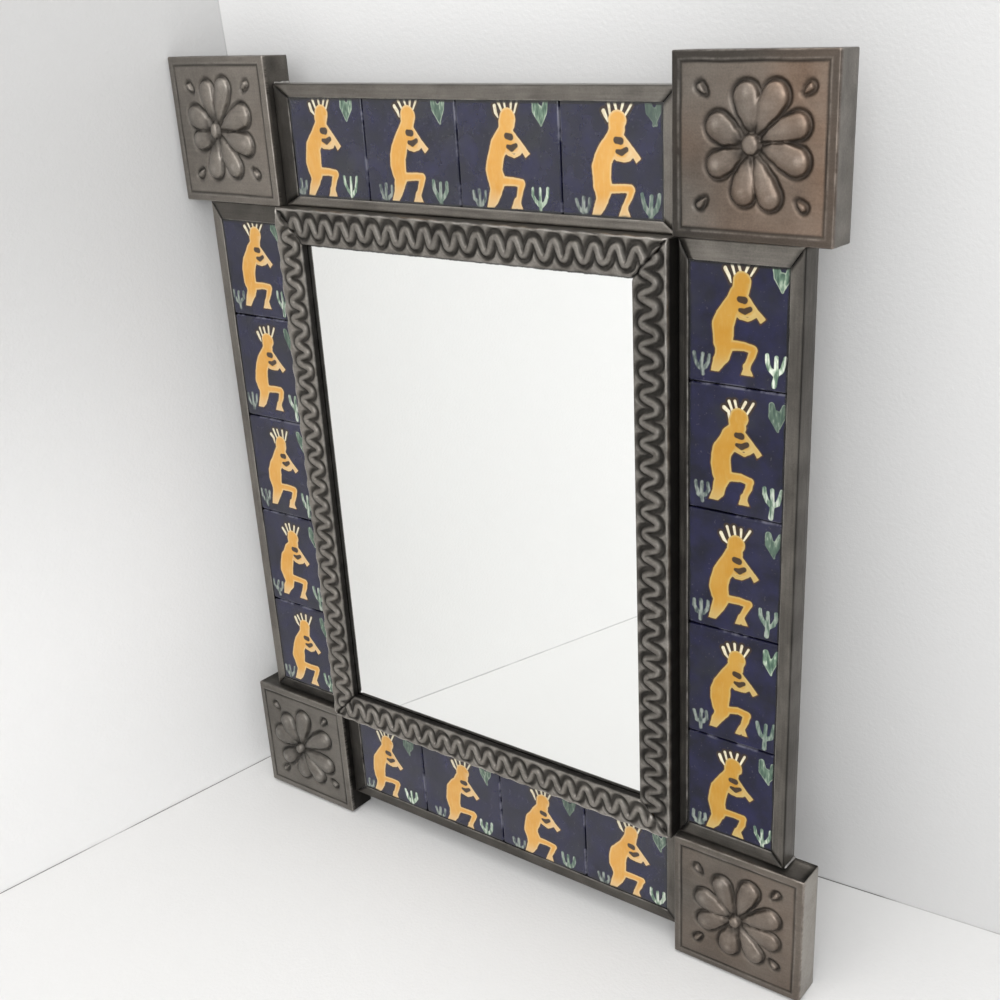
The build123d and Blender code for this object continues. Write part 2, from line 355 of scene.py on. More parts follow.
def makeGlaze(name, shadeTint, gloss, coat):
    made, tree, shader = newMaterial(name)
    place = objectPlace(tree)
    cloud = noiseAt(place, 90.0, 4.0, 0.6)
    fine = noiseAt(place, 700.0, 3.0, 0.6)
    wash = noiseAt(place, 34.0, 3.0, 0.55)
    bristle = noiseAt(vectorMath("MULTIPLY", place, (900.0, 900.0, 240.0)), 1.0, 2.0, 0.5)
    wobble = (fine - 0.5) * 0.35

    def paint(mark, edge=0.0, soft=0.14):
        return remap(readMark(tree, mark) + wobble, edge + soft, edge - soft, soft=True)

    # navy ground, thicker and bluer in some places than in others
    color = ramp(cloud, 0.35, 0.7, (0.0065, 0.007, 0.018, 1), (0.0125, 0.0125, 0.050, 1))
    color = mixColor(remap(wash, 0.5, 0.8, soft=True), color, (0.018, 0.0195, 0.024, 1))
    # paler along the tiles' edges, in patches
    paleEdge = (readMark(tree, "seam") * remap(cloud, 0.50, 0.60)).clamped()
    color = mixColor(paleEdge, color, (0.17, 0.17, 0.21, 1))
    # greens: brushed thin, so the navy shows through where the tone is low
    dimShade = ramp(bristle, 0.35, 0.62, (0.065, 0.090, 0.080, 1), (0.27, 0.30, 0.265, 1))
    color = mixColor(paint("dimCactus", 0.0, 0.3) * remap(bristle, 0.25, 0.5, 0.55, 1.0), color, dimShade)
    leafTone = readMark(tree, "leafTone")
    leafShade = ramp(bristle, 0.35, 0.6, (0.050, 0.095, 0.068, 1), (0.15, 0.23, 0.16, 1))
    leafShade = ramp(bristle, 0.58, 0.72, leafShade, (0.46, 0.53, 0.41, 1))
    color = mixColor(paint("leaf"), color, mixColor(leafTone, (0.045, 0.065, 0.055, 1), leafShade))
    leafEdge = paint("leaf") * remap(readMark(tree, "leaf"), -0.5, -0.1) * leafTone
    color = mixColor(leafEdge * remap(cloud, 0.42, 0.58, 0.0, 0.8), color, (0.46, 0.52, 0.41, 1))
    cactusShade = ramp(bristle, 0.36, 0.52, (0.085, 0.15, 0.10, 1), (0.33, 0.42, 0.31, 1))
    cactusShade = ramp(bristle, 0.5, 0.64, cactusShade, (0.66, 0.70, 0.60, 1))
    cactusShade = mixColor(readMark(tree, "cactusTone"), (0.065, 0.095, 0.085, 1), cactusShade)
    color = mixColor(paint("cactus"), color, cactusShade)
    # dark outlines first, then pale hair and the amber figure with its paler rim and limbs
    color = mixColor(paint("hair", 0.95, 0.4), color, (0.032, 0.019, 0.012, 1))
    color = mixColor(paint("figure", 0.5, 0.2), color, (0.055, 0.024, 0.012, 1))
    color = mixColor(paint("hair"), color, ramp(fine, 0.4, 0.6, (0.60, 0.52, 0.36, 1), (0.74, 0.69, 0.52, 1)))
    amber = ramp(cloud, 0.3, 0.7, (0.60, 0.285, 0.040, 1), (0.655, 0.350, 0.080, 1))
    amber = mixColor(remap(bristle, 0.5, 0.75, 0.0, 0.35), amber, (0.67, 0.42, 0.14, 1))
    amber = mixColor(remap(readMark(tree, "figure"), -1.1, -0.1, soft=True) * 0.75, amber, (0.66, 0.49, 0.25, 1))
    amber = mixColor(readMark(tree, "limb") * 0.6, amber, (0.67, 0.50, 0.28, 1))
    color = mixColor(paint("figure"), color, mixColor(1.0, amber, shadeTint, "MULTIPLY"))
    color = mixColor(paint("eyelets", 0.0, 0.22), color, (0.042, 0.024, 0.012, 1))
    # painted shadow, near black, where the tray's lips overhang the tile
    color = dusted(mixColor(readMark(tree, "lip_shadow"), color, (0.004, 0.004, 0.004, 1)), 0.12)
    lift = paint("figure", -0.1, 0.4) * 0.25 + cloud * 0.7 + fine * 0.05
    fill(shader, {"Base Color": color, "Roughness": color.output("Roughness"), "IOR": 1.5, "Specular IOR Level": gloss,
                  "Coat Weight": coat, "Coat Roughness": 0.06, "Normal": bump(lift, 0.0003)})
    return made


paintedGlaze = makeGlaze("paintedGlaze", (1.0, 1.0, 1.0, 1), 0.5, 0.2)
# the right column's tiles in painted shade: a darker amber through the tint, and less gloss and coat
shadedGlaze = makeGlaze("shadedGlaze", (0.74, 0.76, 0.55, 1), 0.25, 0.05)


sightX, sightZ = 0.0875, 0.1145  # half of the glass that shows inside the moulding


def makeMirror():
    made, tree, shader = newMaterial("silveredGlass")
    place = objectPlace(tree)
    spot = addNode("ShaderNodeSeparateXYZ", [place])
    # painted shade and reflection of the moulding's dark inner wall: the glass is drawn dark close to the moulding
    insetX = sightX - calculate("ABSOLUTE", spot.output("X"))
    insetZ = sightZ - calculate("ABSOLUTE", spot.output("Z"))
    inset = calculate("MINIMUM", insetX, insetZ) + (noiseAt(place, 260.0, 3.0, 0.6) - 0.5) * 0.0008
    edgeShade = ramp(inset, 0.0005, 0.0003, (0.012, 0.011, 0.010, 1), (0.16, 0.155, 0.15, 1))
    silver = dusted(mixColor(remap(inset, 0.0011, 0.0008, 0.0, 0.93), (0.93, 0.94, 0.93, 1), edgeShade), 0.012)
    fill(shader, {"Base Color": silver, "Roughness": silver.output("Roughness"), "Metallic": 1.0})
    return made


def makeBoard():
    made, tree, shader = newMaterial("pressedBoard")
    place = objectPlace(tree)
    fibres = noiseAt(place, 420.0, 6.0, 0.7)
    stains = noiseAt(place, 25.0, 4.0, 0.6)
    color = ramp(fibres, 0.3, 0.7, (0.16, 0.085, 0.04, 1), (0.30, 0.18, 0.095, 1))
    color = mixColor(remap(stains, 0.45, 0.7) * 0.4, color, (0.10, 0.055, 0.03, 1))
    fill(shader, {"Base Color": color, "Roughness": remap(fibres, 0.2, 0.8, 0.6, 0.85), "Normal": bump(fibres, 0.0004)})
    return made


def makeCard():
    made, tree, shader = newMaterial("greyCard")
    fibres = noiseAt(objectPlace(tree), 800.0, 5.0, 0.7)
    color = ramp(fibres, 0.3, 0.7, (0.25, 0.22, 0.18, 1), (0.38, 0.34, 0.28, 1))
    fill(shader, {"Base Color": color, "Roughness": 0.85, "Normal": bump(fibres, 0.0002)})
    return made


silveredGlass = makeMirror()
pressedBoard = makeBoard()
greyCard = makeCard()
print("materials made")

# Corner boxes. Each flower was tooled by hand, so every box has its own button place and petal tips. A tint is how warm
# the face is, how much darker it is, how much darker its rim is, and how much darker it grows towards its left and top;
# walls are the painted shade on each wall, round from below, and a wall at 0 gets painted sheen instead.
boxes = {
    "top_left": {
        "tint": (0.1, -0.1, 0.14, 0.0), "walls": (0.5, 0.48, 0.35, 0.4), "wide": [(18.4, 8.6)],
        "centre": (-4.2, 0.0), "button": (-4.9, 0.0, 2.3, 3.6),
        "tips": [(5.0, 22.4), (18.4, 8.6), (18.6, -6.9), (7.3, -19.4), (-9.2, -20.9), (-20.0, -5.8), (-21.4, 7.8),
                 (-8.2, 21.4)],
        "drops": [(17.6, 19.2), (18.3, -17.8), (-18.8, -19.0), (-18.5, 18.2)],
    },
    "top_right": {
        "tint": (0.6, 0.06, 0.5, 0.2), "walls": (0.5, 0.12, 0.2, 0.4), "wide": [],
        "centre": (0.0, 1.2), "button": (-0.1, 1.3, 3.5, 3.6),
        "tips": [(11.0, 21.2), (21.2, 9.3), (21.5, -5.2), (8.8, -19.8), (-3.6, -19.0), (-16.8, -7.8), (-17.4, 8.8),
                 (-3.0, 21.6)],
        "drops": [(20.6, 19.2), (19.2, -18.0), (-19.4, -18.8), (-19.4, 19.0)],
    },
    "bottom_left": {
        "tint": (0.0, 0.12, 0.0, 0.0), "walls": (0.5, 1.0, 0.55, 0.4), "wide": [],
        "centre": (-4.2, -2.6), "button": (-4.7, -3.0, 2.5, 2.9),
        "tips": [(1.5, 21.4), (19.1, 10.8), (19.6, -8.6), (10.6, -19.4), (-2.9, -20.8), (-18.5, -13.8), (-22.8, 4.5),
                 (-14.8, 15.7)],
        "drops": [(16.6, 20.0), (19.6, -17.6), (-18.3, -19.6), (-19.6, 19.6)],
    },
    "bottom_right": {
        "tint": (0.35, 0.12, 0.12, 0.1), "walls": (0.5, 0.0, 0.3, 0.4), "wide": [],
        "centre": (-0.3, -1.8), "button": (-0.5, -2.0, 2.7, 2.8),
        "tips": [(7.6, 21.0), (20.6, 8.0), (20.9, -6.5), (11.6, -19.1), (-4.6, -20.6), (-19.0, -9.4), (-20.4, 5.6),
                 (-9.0, 18.6)],
        "drops": [(18.4, 19.2), (18.6, -17.0), (-19.0, -18.4), (-19.2, 18.6)],
    },
}
boxLooks = {
    "half": 31.5, "depth": 14.5, "cell": 0.40, "round": 0.6, "edge": [0.0, 0.07, 0.26, 0.55, 0.9],
    "wallRows": [0.0, 0.12, 0.35, 0.6, 0.8, 0.92, 1.0],
    "rim": 3.8, "rimSlope": 0.5, "scoreWidth": 0.55, "scoreDepth": 0.6, "panelSink": 0.3,
    "petalRoot": 3.7, "petalRadius": 4.7, "petalRise": 2.0,
    "grooveDepth": 0.95, "grooveWidth": 1.0,
    "buttonRise": 1.8, "dropRadius": 1.75, "dropRise": 0.8,
}


def boxCoordinates():
    half, edge, margin = boxLooks["half"], boxLooks["edge"], 1.3
    inner = np.linspace(-half + margin, half - margin, int(2 * (half - margin) / boxLooks["cell"]) + 1)
    return np.concatenate([[-half + e for e in edge], inner, [half - e for e in edge[::-1]]])


def dropStroke(x, y):
    # a drop points at the middle of the box
    reach = hypot(x, y)
    sizes = (-1.9, 0.75), (-0.3, boxLooks["dropRadius"] * 0.85), (1.0, boxLooks["dropRadius"])
    return [(x + shift * x / reach, y + shift * y / reach, radius) for shift, radius in sizes]


def boxRelief(x, y, name):
    # raised petals, button and drops, each with a pressed line round it
    looks, plan = boxLooks, boxes[name]
    seed = list(boxes).index(name) * 10 + 3
    random = np.random.default_rng(seed)
    away = looks["half"] - np.maximum(abs(x), abs(y)) + 0.14 * softNoise(x, y, 9.0, seed)
    score = np.exp(-((away - looks["rim"]) / looks["scoreWidth"]) ** 2)
    score *= 0.8 + 0.2 * softNoise(x, y, 8.0, seed + 6)
    inside = smoothstep(looks["rim"] - 0.2, looks["rim"] + 1.2, away)
    level = -looks["panelSink"] * inside - looks["scoreDepth"] * score
    level -= looks["rimSlope"] * np.clip(1 - away / looks["rim"], 0, 1) ** 1.3
    level += (0.16 * softNoise(x, y, 12.0, seed + 1) + 0.05 * softNoise(x, y, 3.5, seed + 2)) * inside
    hollow = 0.97 * score + 0.12 * np.clip(softNoise(x, y, 10.0, seed + 8), 0, 1) * inside
    shapes, paintedGlints = [], np.zeros(x.shape)
    cx, cy = plan["centre"]
    # petals swell towards their tips and sink round the button
    swell = 0.4 + 0.6 * smoothstep(4.0, 14.0, np.hypot(x - cx, y - cy))
    for tipX, tipY in plan["tips"]:
        reach = hypot(tipX - cx, tipY - cy)
        ux, uy = (tipX - cx) / reach, (tipY - cy) / reach
        big = looks["petalRadius"] * random.uniform(0.92, 1.08)
        if (tipX, tipY) in plan["wide"]:
            big *= 1.18
        end, bow = reach - big, random.uniform(-0.5, 0.5)
        stroke = []
        for share, wide, side in ((0.0, 0.16, 0), (0.35, 0.62, 1), (0.7, 0.93, 1), (1.0, 1.0, 0)):
            r = looks["petalRoot"] + (end - looks["petalRoot"]) * share
            stroke.append((cx + ux * r - uy * bow * side, cy + uy * r + ux * bow * side, big * wide))
        shapes.append((strokeDistance(x, y, stroke), looks["petalRise"] * random.uniform(0.85, 1.0) * swell, 4.4))
        # painted highlight near each petal's tip, set off up and to the right
        glint = np.hypot(x - cx - ux * (end + 1.0) - 0.7, y - cy - uy * (end + 1.0) - 0.7)
        paintedGlints = np.maximum(paintedGlints, np.exp(-(glint / 1.7) ** 2) * random.uniform(0.3, 0.7))
    bx, by, wide, tall = plan["button"]
    aroundButton = min(wide, tall) * (np.hypot((x - bx) / wide, (y - by) / tall) - 1)
    shapes.append((aroundButton, looks["buttonRise"], 2.3))
    shapes += [(strokeDistance(x, y, dropStroke(*drop)) + 0.4, looks["dropRise"], 1.3) for drop in plan["drops"]]
    rise, groove, wear_and_sheen = np.zeros(x.shape), np.zeros(x.shape), np.zeros(x.shape)
    for gap, high, shoulder in shapes:
        dome = np.clip(1 - (1 - np.clip(-gap / shoulder, 0, 1)) ** 2, 0, 1) ** 0.62 * high
        rise = np.maximum(rise, dome)
        groove = np.maximum(groove, np.exp(-((gap - 0.45) / looks["grooveWidth"]) ** 2))
        wear_and_sheen = np.maximum(wear_and_sheen, smoothstep(0.8, 1.0, dome / high) * 0.12)
    wear_and_sheen = np.maximum(wear_and_sheen, paintedGlints)
    rise += smoothstep(0.0, 0.6, rise) * 0.16 * softNoise(x, y, 4.5, seed + 4)
    groove *= 1 - smoothstep(0.05, 0.9, rise)
    level += rise - looks["grooveDepth"] * groove
    hollow = np.maximum(hollow, groove * (0.8 + 0.18 * softNoise(x, y, 5.0, seed + 5)))
    darkRing = smoothstep(-0.6, 0.1, aroundButton) * (1 - smoothstep(0.8, 5.5, aroundButton))
    hollow = np.maximum(hollow, 0.75 * darkRing)
    rimCrest = np.exp(-((away - looks["rim"] + 0.9) / 0.35) ** 2) * 0.3
    return level, np.clip(hollow, 0, 1), np.maximum(wear_and_sheen, rimCrest)


def makeBoxFace(name, seed):
    # the face and its rounded edge, as points with their marks for patina and painted shade, and for wear and painted
    # highlights
    half, r = boxLooks["half"], boxLooks["round"]
    line = boxCoordinates()
    x, y = (grid.ravel() for grid in np.meshgrid(line, line, indexing="ij"))
    level, hollow, wear_and_sheen = boxRelief(x, y, name)
    ax, ay = (np.clip(abs(value) - half + r, 0, None) for value in (x, y))
    qx, qy = ax * np.sqrt(1 - (ay / r) ** 2 / 2), ay * np.sqrt(1 - (ax / r) ** 2 / 2)
    px = np.sign(x) * (abs(x) - ax + qx)
    py = np.sign(y) * (abs(y) - ay + qy)
    drop = r - np.sqrt(np.clip(r * r - qx * qx - qy * qy, 0, None))
    buckle = 0.06 * (1 + softNoise(x, y, 14.0, seed)) * (ax + ay == 0)
    edgeWear = np.exp(-((ax + ay - 0.4) / 0.25) ** 2) * ((ax + ay) > 0)
    cornerWear = np.clip(1 - np.hypot(half - abs(x), half - abs(y)) / 1.2, 0, 1)
    worn = np.maximum(edgeWear * 0.35 * (1 + softNoise(x, y, 8.0, seed + 3)), cornerWear)
    return len(line), np.stack([px, py, boxLooks["depth"] + level - drop - buckle], 1), hollow, np.maximum(wear_and_sheen, worn)


def makeBox(name, sx, sy):
    looks, plan = boxLooks, boxes[name]
    seed = list(boxes).index(name) * 10 + 5
    count, face, hollow, wear_and_sheen = makeBoxFace(name, seed)
    points, faces, hollows, wear_and_sheen_parts, paintedSheen = [face], [gridFaces(count, count)], [hollow], [wear_and_sheen], [0 * hollow]
    rows = np.array(looks["wallRows"])
    grid = np.arange(count * count).reshape(count, count)
    borders = [grid[:, 0], grid[-1, :], grid[::-1, -1], grid[0, ::-1]]
    for number, (border, (nx, ny)) in enumerate(zip(borders, [(0, -1), (1, 0), (0, 1), (-1, 0)])):
        bx, by, bz = face[border].T
        along = bx * abs(ny) + by * abs(nx)
        knockedIn = name == "bottom_right" and number == 2  # beside an open corner
        block, shade = [], plan["walls"][number]
        for row in rows:
            dent = 0.2 * (1 + softNoise(along, np.full(along.shape, row * 14.0 + number * 40.0), 16.0, seed + 1))
            dent *= sin(pi * min(1.0, row * 1.02)) * (1 - (along / abs(along).max()) ** 6)
            if knockedIn:
                dent = dent + 2.4 * smoothstep(4.0, 27.0, along) * sin(pi * row) ** 0.7
            block.append(np.stack([bx - nx * dent, by - ny * dent, bz * (1 - row)], 1))
        faces.append(gridFaces(len(border), len(rows), flip=True) + sum(map(len, points)))
        points.append(np.stack(block, 1).reshape(-1, 3))
        away, deep = np.meshgrid(along, rows, indexing="ij")
        patch = softNoise(away, deep * 14.5 + number * 31, 6.0, seed + 2)
        # painted shade on the wall, blotched, and darker towards the back
        dark = np.clip(shade + 0.25 * patch * (shade > 0.1) + 0.1 * deep, 0, 1)
        # painted shade in the knocked-in dent near its far end
        if knockedIn:
            dentShade = smoothstep(24.0, 30.0, away + 2.5 * softNoise(away, deep * 9, 4.0, seed + 4))
            dark = np.maximum(dark, dentShade * smoothstep(0.0, 0.2, deep))
        hollows.append(dark.ravel())
        # painted sheen on the walls set at 0: brighter through the crest mark, and lighter through the dim mark
        wear_and_sheen_parts.append(np.clip(np.exp(-(deep / 0.04) ** 2) * 0.3 + 0.25 * (shade == 0), 0, 1).ravel())
        paintedSheen.append(np.full(deep.size, 0.65 * (shade == 0)))
    points = np.concatenate(points)
    lx, ly, lz = points.T
    warm, tone_and_shade, rimDim, fade = plan["tint"]
    onRim = 1 - smoothstep(-0.6, 0.4, looks["half"] - np.maximum(abs(lx), abs(ly)) - looks["rim"])
    onFace = lz > looks["depth"] - 2.5
    warm = warm * (1 + 0.4 * softNoise(lx, ly, 20.0, seed + 7) + 0.015 * lx) * (1 - 0.4 * onRim) * onFace
    tone_and_shade = tone_and_shade * (1 + 0.4 * softNoise(lx, ly, 22.0, seed + 9)) + rimDim * onRim * onFace
    # darker towards the face's left and top by its fade share; the walls set at 0 are made lighter, as painted sheen
    tone_and_shade = tone_and_shade + fade * smoothstep(14.0, -20.0, lx - 0.3 * ly) * onFace - np.concatenate(paintedSheen)
    points = points + np.array([sx * layout["boxX"], sy * layout["boxY"], 0])
    piece = makeMesh("cornerBox_" + name, toRow(points), np.concatenate(faces), {
        "hollow": np.concatenate(hollows), "wear_and_sheen": np.concatenate(wear_and_sheen_parts),
        "warm": np.clip(warm, 0, 1), "tone_and_shade": np.clip(tone_and_shade, -0.7, 1)})
    weld(piece)
    thicken(piece, sheet)
    finishPiece(piece, embossedTin, "tin", "mirror", "corner_box_" + name)


for row, sy in (("top", 1), ("bottom", -1)):
    for column, sx in (("left", -1), ("right", 1)):
        makeBox(row + "_" + column, sx, sy)
print("corner boxes made")

# Moulding, from a geometry node tree: a grid bent to the section and embossed along a wave.
mouldingLooks = {
    "Width": 15.2, "Depth": 18.3, "Sink": 3.6, "Pitch": 9.5, "Ribbon": 1.3, "Rise": 0.25, "Groove": 1.0,
    "Bend": 0.7, "Mitre": 0.9,
}
mouldingTraits = ("Shade X", "Shade Y", "Phase", "Seed", "Swing", "Shift", "Ruffle", "Rub", "WallShade", "Painted Shade")
mouldingSides = {
    "top": (0.3, 0.95, 0.5, 11.0, 3.2, 0.3, 0.15, 0.9, 0.25, 0.24),
    "bottom": (-0.3, -0.95, 0.4, 47.0, 3.4, -0.6, 0.25, 1.5, 0.5, 0.05),
    "left": (0.66, -0.75, 0.9, 83.0, 3.1, -0.1, 0.4, 1.8, 0.5, 0.0),
    "right": (-0.66, 0.75, 2.2, 121.0, 3.3, 0.6, 0.12, 0.6, 1.0, 0.44),
}
# Along the section, the outer wall ends at the first share and the inner wall begins at the second.
wallShare, innerShare = 0.15, 0.93
mouldingCells = {"along": 560, "across": 54, "line": 1100}
bendRounding = 0.075  # part of a wave three times as fast, which rounds the bends and steepens the limbs


def followWave(given, x):
    # the wave's angle at x, uneven as hand tooling is
    spread = addNode("ShaderNodeTexNoise", {"W": x + given["Seed"], "Scale": 0.09, "Detail": 1.0}, "Fac",
                     noise_dimensions="1D")
    return x / given["Pitch"] * (2 * pi) + given["Phase"] + (spread - 0.5) * 1.8, spread


def drawWave(tree, given):
    # the ribbon's middle line, as edges in the plane of the face
    half = given["Length"] * 0.5
    ends = [combine(half * way) for way in (-1.0, 1.0)]
    line = addNode("GeometryNodeCurvePrimitiveLine", ends)
    line = addNode("GeometryNodeResampleCurve", {"Curve": line, "Count": mouldingCells["line"]})
    place = addNode("GeometryNodeInputPosition", tree=tree)
    angle, spread = followWave(given, addNode("ShaderNodeSeparateXYZ", [place]).output("X"))
    reach = given["Swing"] * remap(spread, 0.3, 0.7, 1.12, 0.88)
    bent = calculate("COSINE", angle) - calculate("COSINE", angle * 3.0) * bendRounding
    swing = bent / (1 - bendRounding) * reach
    swing = swing * -1.0 - (given["Width"] * 0.5 + given["Shift"])
    line = addNode("GeometryNodeSetPosition", {"Geometry": line, "Offset": combine(0.0, swing)})
    return addNode("GeometryNodeCurveToMesh", {"Curve": line})


def makeMouldingTree():
    tree = bpy.data.node_groups.new("waveMoulding", "GeometryNodeTree")
    tree.is_modifier = True
    tree.interface.new_socket("Geometry", in_out="OUTPUT", socket_type="NodeSocketGeometry")
    for label in ["Length", *mouldingTraits, *mouldingLooks]:
        tree.interface.new_socket(label, in_out="INPUT", socket_type="NodeSocketFloat")
    tree.interface.new_socket("Material", in_out="INPUT", socket_type="NodeSocketMaterial")
    source = tree.nodes.new("NodeGroupInput").outputs
    given = {socket.name: Flow(tree, socket) for socket in source if socket.name}
    cells = [mouldingCells[way] for way in ("along", "across")]
    shape = addNode("GeometryNodeMeshGrid", [given["Length"], 1.0, *cells], "Mesh")
    spot = addNode("ShaderNodeSeparateXYZ", [addNode("GeometryNodeInputPosition", tree=tree)])
    share = spot.output("Y") + 0.5
    up = remap(share, 0.0, wallShare, 0.0, given["Depth"])
    down = remap(share, innerShare, 1.0, 0.0, given["Sink"])
    inward = remap(share, wallShare, innerShare, 0.0, given["Width"])
    # the mitre cuts x back as the face runs inwards
    limit = given["Length"] * 0.5 - inward
    x = spot.output("X") * (limit / (given["Length"] * 0.5))
    flat = combine(x, inward * -1.0)
    near = addNode("GeometryNodeProximity", {0: drawWave(tree, given), 2: flat}, "Distance", target_element="EDGES")
    waver = addNode("ShaderNodeTexNoise", {"Vector": combine(x, inward * -1.0, given["Seed"]), "Scale": 0.22,
                                           "Detail": 2.5}, "Fac")
    gap = near - given["Ribbon"] + (waver - 0.5) * 0.9
    away = vectorMath("NORMALIZE", vectorMath("SUBTRACT", flat, near.output("Position")))
    lean = vectorMath("DOT_PRODUCT", away, combine(given["Shade X"], given["Shade Y"]), output="Value")
    # pressed lines run along both sides of the ribbon, broader on the side turned from the light (Shade X, Shade Y);
    # their dark band is patina in the groove and painted shade, wider on that side
    reachOut = remap(lean, -0.7, 0.8, 2.0, 2.9)
    dome = remap(gap, 0.1, given["Ribbon"] * -0.8, soft=True)
    margin = calculate("MINIMUM", inward, given["Width"] - inward)
    calm = remap(margin, 0.4, 1.1, soft=True)
    pressed = remap(gap, -0.4, 0.4, soft=True) * remap(gap, reachOut + 0.3, reachOut * 0.5, soft=True) * calm
    lift = (dome - 1.0) * given["Rise"] - pressed * given["Groove"]
    dark = remap(gap, -0.35, 0.35, soft=True) * remap(gap, reachOut + 0.2, reachOut * 0.6, soft=True)
    dark = dark * remap(waver, 0.35, 0.6, 0.82, 1.0) * calm
    # folded edges of the face, and the cut end turned down at the mitre
    shy = given["Bend"] - calculate("MINIMUM", margin, given["Bend"])
    room = calculate("MAXIMUM", given["Bend"] * given["Bend"] - shy * shy, 0.0)
    fold = given["Bend"] - calculate("SQRT", room)
    toEnd = limit - calculate("ABSOLUTE", x)
    onFace = calculate("GREATER_THAN", margin, 0.001)
    relief = lift - remap(toEnd, 1.5, 0.0, soft=True) * given["Mitre"]
    height = calculate("MAXIMUM", up - down - fold + relief * onFace, 0.0)
    # the outer border bulges out between the wave's bends
    ruffle = (calculate("COSINE", followWave(given, x)[0]) + (waver - 0.5)) * given["Ruffle"]
    ruffle = ruffle * remap(inward, 3.0, 0.0, soft=True) * remap(share, 0.09, wallShare, soft=True)
    place = combine(x, ruffle - inward, height)
    # the dark band, darker at the mitred ends and along the inner edge; the walls get painted shade, the outer wall as
    # dark as WallShade and the inner wall beside the glass fully dark
    hollow = calculate("MAXIMUM", dark * 0.9, remap(toEnd, 0.95, 0.4) * 0.97) * onFace
    hollow = calculate("MAXIMUM", hollow, remap(inward, given["Width"] - 0.7, given["Width"]) * 0.6)
    outerWall = remap(share, wallShare, wallShare - 0.001) * given["WallShade"]
    innerWall = remap(share, innerShare, innerShare + 0.001)
    hollow = calculate("MAXIMUM", hollow, outerWall + innerWall)
    outside = remap(gap, reachOut, reachOut + 0.8, soft=True)
    wear_and_sheen = calculate("MAXIMUM", remap(gap, -0.3, -1.0, soft=True) * 0.3, outside * 0.4)
    rub = remap(calculate("ABSOLUTE", inward - 0.3), 0.65, 0.1) * given["Rub"]
    wear_and_sheen = calculate("MAXIMUM", wear_and_sheen, rub) * onFace
    wear_and_sheen = calculate("MAXIMUM", wear_and_sheen, remap(share, 0.98, 1.0) * 0.5)
    # the third mark stores the side's painted shade, one number for the whole moulding
    for label, value in (("hollow", hollow), ("wear_and_sheen", wear_and_sheen), ("tone_and_shade", given["Painted Shade"])):
        shape = addNode("GeometryNodeStoreNamedAttribute", {"Geometry": shape, "Name": label, "Value": value},
                        data_type="FLOAT", domain="POINT")
    shape = addNode("GeometryNodeSetPosition", {"Geometry": shape, "Position": place})
    shape = addNode("GeometryNodeFlipFaces", {"Mesh": shape})
    shape = addNode("GeometryNodeSetShadeSmooth", {"Geometry": shape})
    shape = addNode("GeometryNodeSetMaterial", {"Geometry": shape, "Material": given["Material"]})
    fill(tree.nodes.new("NodeGroupOutput").inputs, {"Geometry": shape})
    return tree


def growFrom(tree, name, values):
    # runs a geometry node tree with the given inputs and returns its plain mesh
    holder = addPiece(name, bpy.data.meshes.new(name))
    grown = holder.modifiers.new("grow", "NODES")
    grown.node_group = tree
    for item in tree.interface.items_tree:
        if item.in_out == "INPUT":
            grown[item.identifier] = values[item.name]
    bpy.context.view_layer.update()
    mesh = bpy.data.meshes.new_from_object(holder.evaluated_get(bpy.context.evaluated_depsgraph_get()))
    bpy.data.objects.remove(holder)
    return addPiece(name, mesh)


mouldingTree = makeMouldingTree()
for side, plan in sides.items():
    values = {"Length": plan["length"], "Material": embossedTin, **mouldingLooks,
              **dict(zip(mouldingTraits, mouldingSides[side]))}
    piece = growFrom(mouldingTree, "waveMoulding_" + side, values)
    points = np.zeros(len(piece.data.vertices) * 3)
    piece.data.vertices.foreach_get("co", points)
    piece.data.vertices.foreach_set("co", toRow(placeOnSide(points.reshape(-1, 3), side)).ravel())
    weld(piece)
    thicken(piece, sheet)
    finishPiece(piece, embossedTin, "tin", "mirror", "moulding_" + side)
print("mouldings made")

# Tile trays
trayLooks = {
    "lipOuter": 5.9, "lipInner": 4.7, "slit": 0.2, "waver": 0.14, "cell": 2.5,
    "backSheet": 0.3, "backCell": 3.0, "backRows": 22,
    "lipEnds": {"top": (8.8, 6.0), "bottom": (6.3, 8.5), "left": (6.0, 8.8), "right": (8.2, 6.8)},
    # how dark each lip is drawn, as painted shade: outer, inner, then the two ends
    "shades": {"top": (0.18, 0.03, 0.8, 0.15), "bottom": (0.62, 0.3, 0.45, 0.88),
               "left": (0.02, 0.3, 0.85, 0.55), "right": (0.48, 0.8, 0.15, 0.6)},
}


def lipSection(lip):
    # points of the fold, as distance inwards and height
    depth = layout["trayDepth"]
    return [(0, 0), (0, 2.5), (0, 5.5), (0, 8.2), (0, 9.2), (0.08, 9.6), (0.3, 9.93), (0.62, 10.13), (1.0, depth),
            (1.5, depth - 0.03), (2.1, depth - 0.07), (2.7, depth - 0.07), (3.3, depth - 0.04),
            (lip - 1.3, depth - 0.02), (lip - 0.7, depth), (lip - 0.3, depth - 0.02), (lip - 0.08, depth - 0.14),
            (lip, depth - 0.34)]


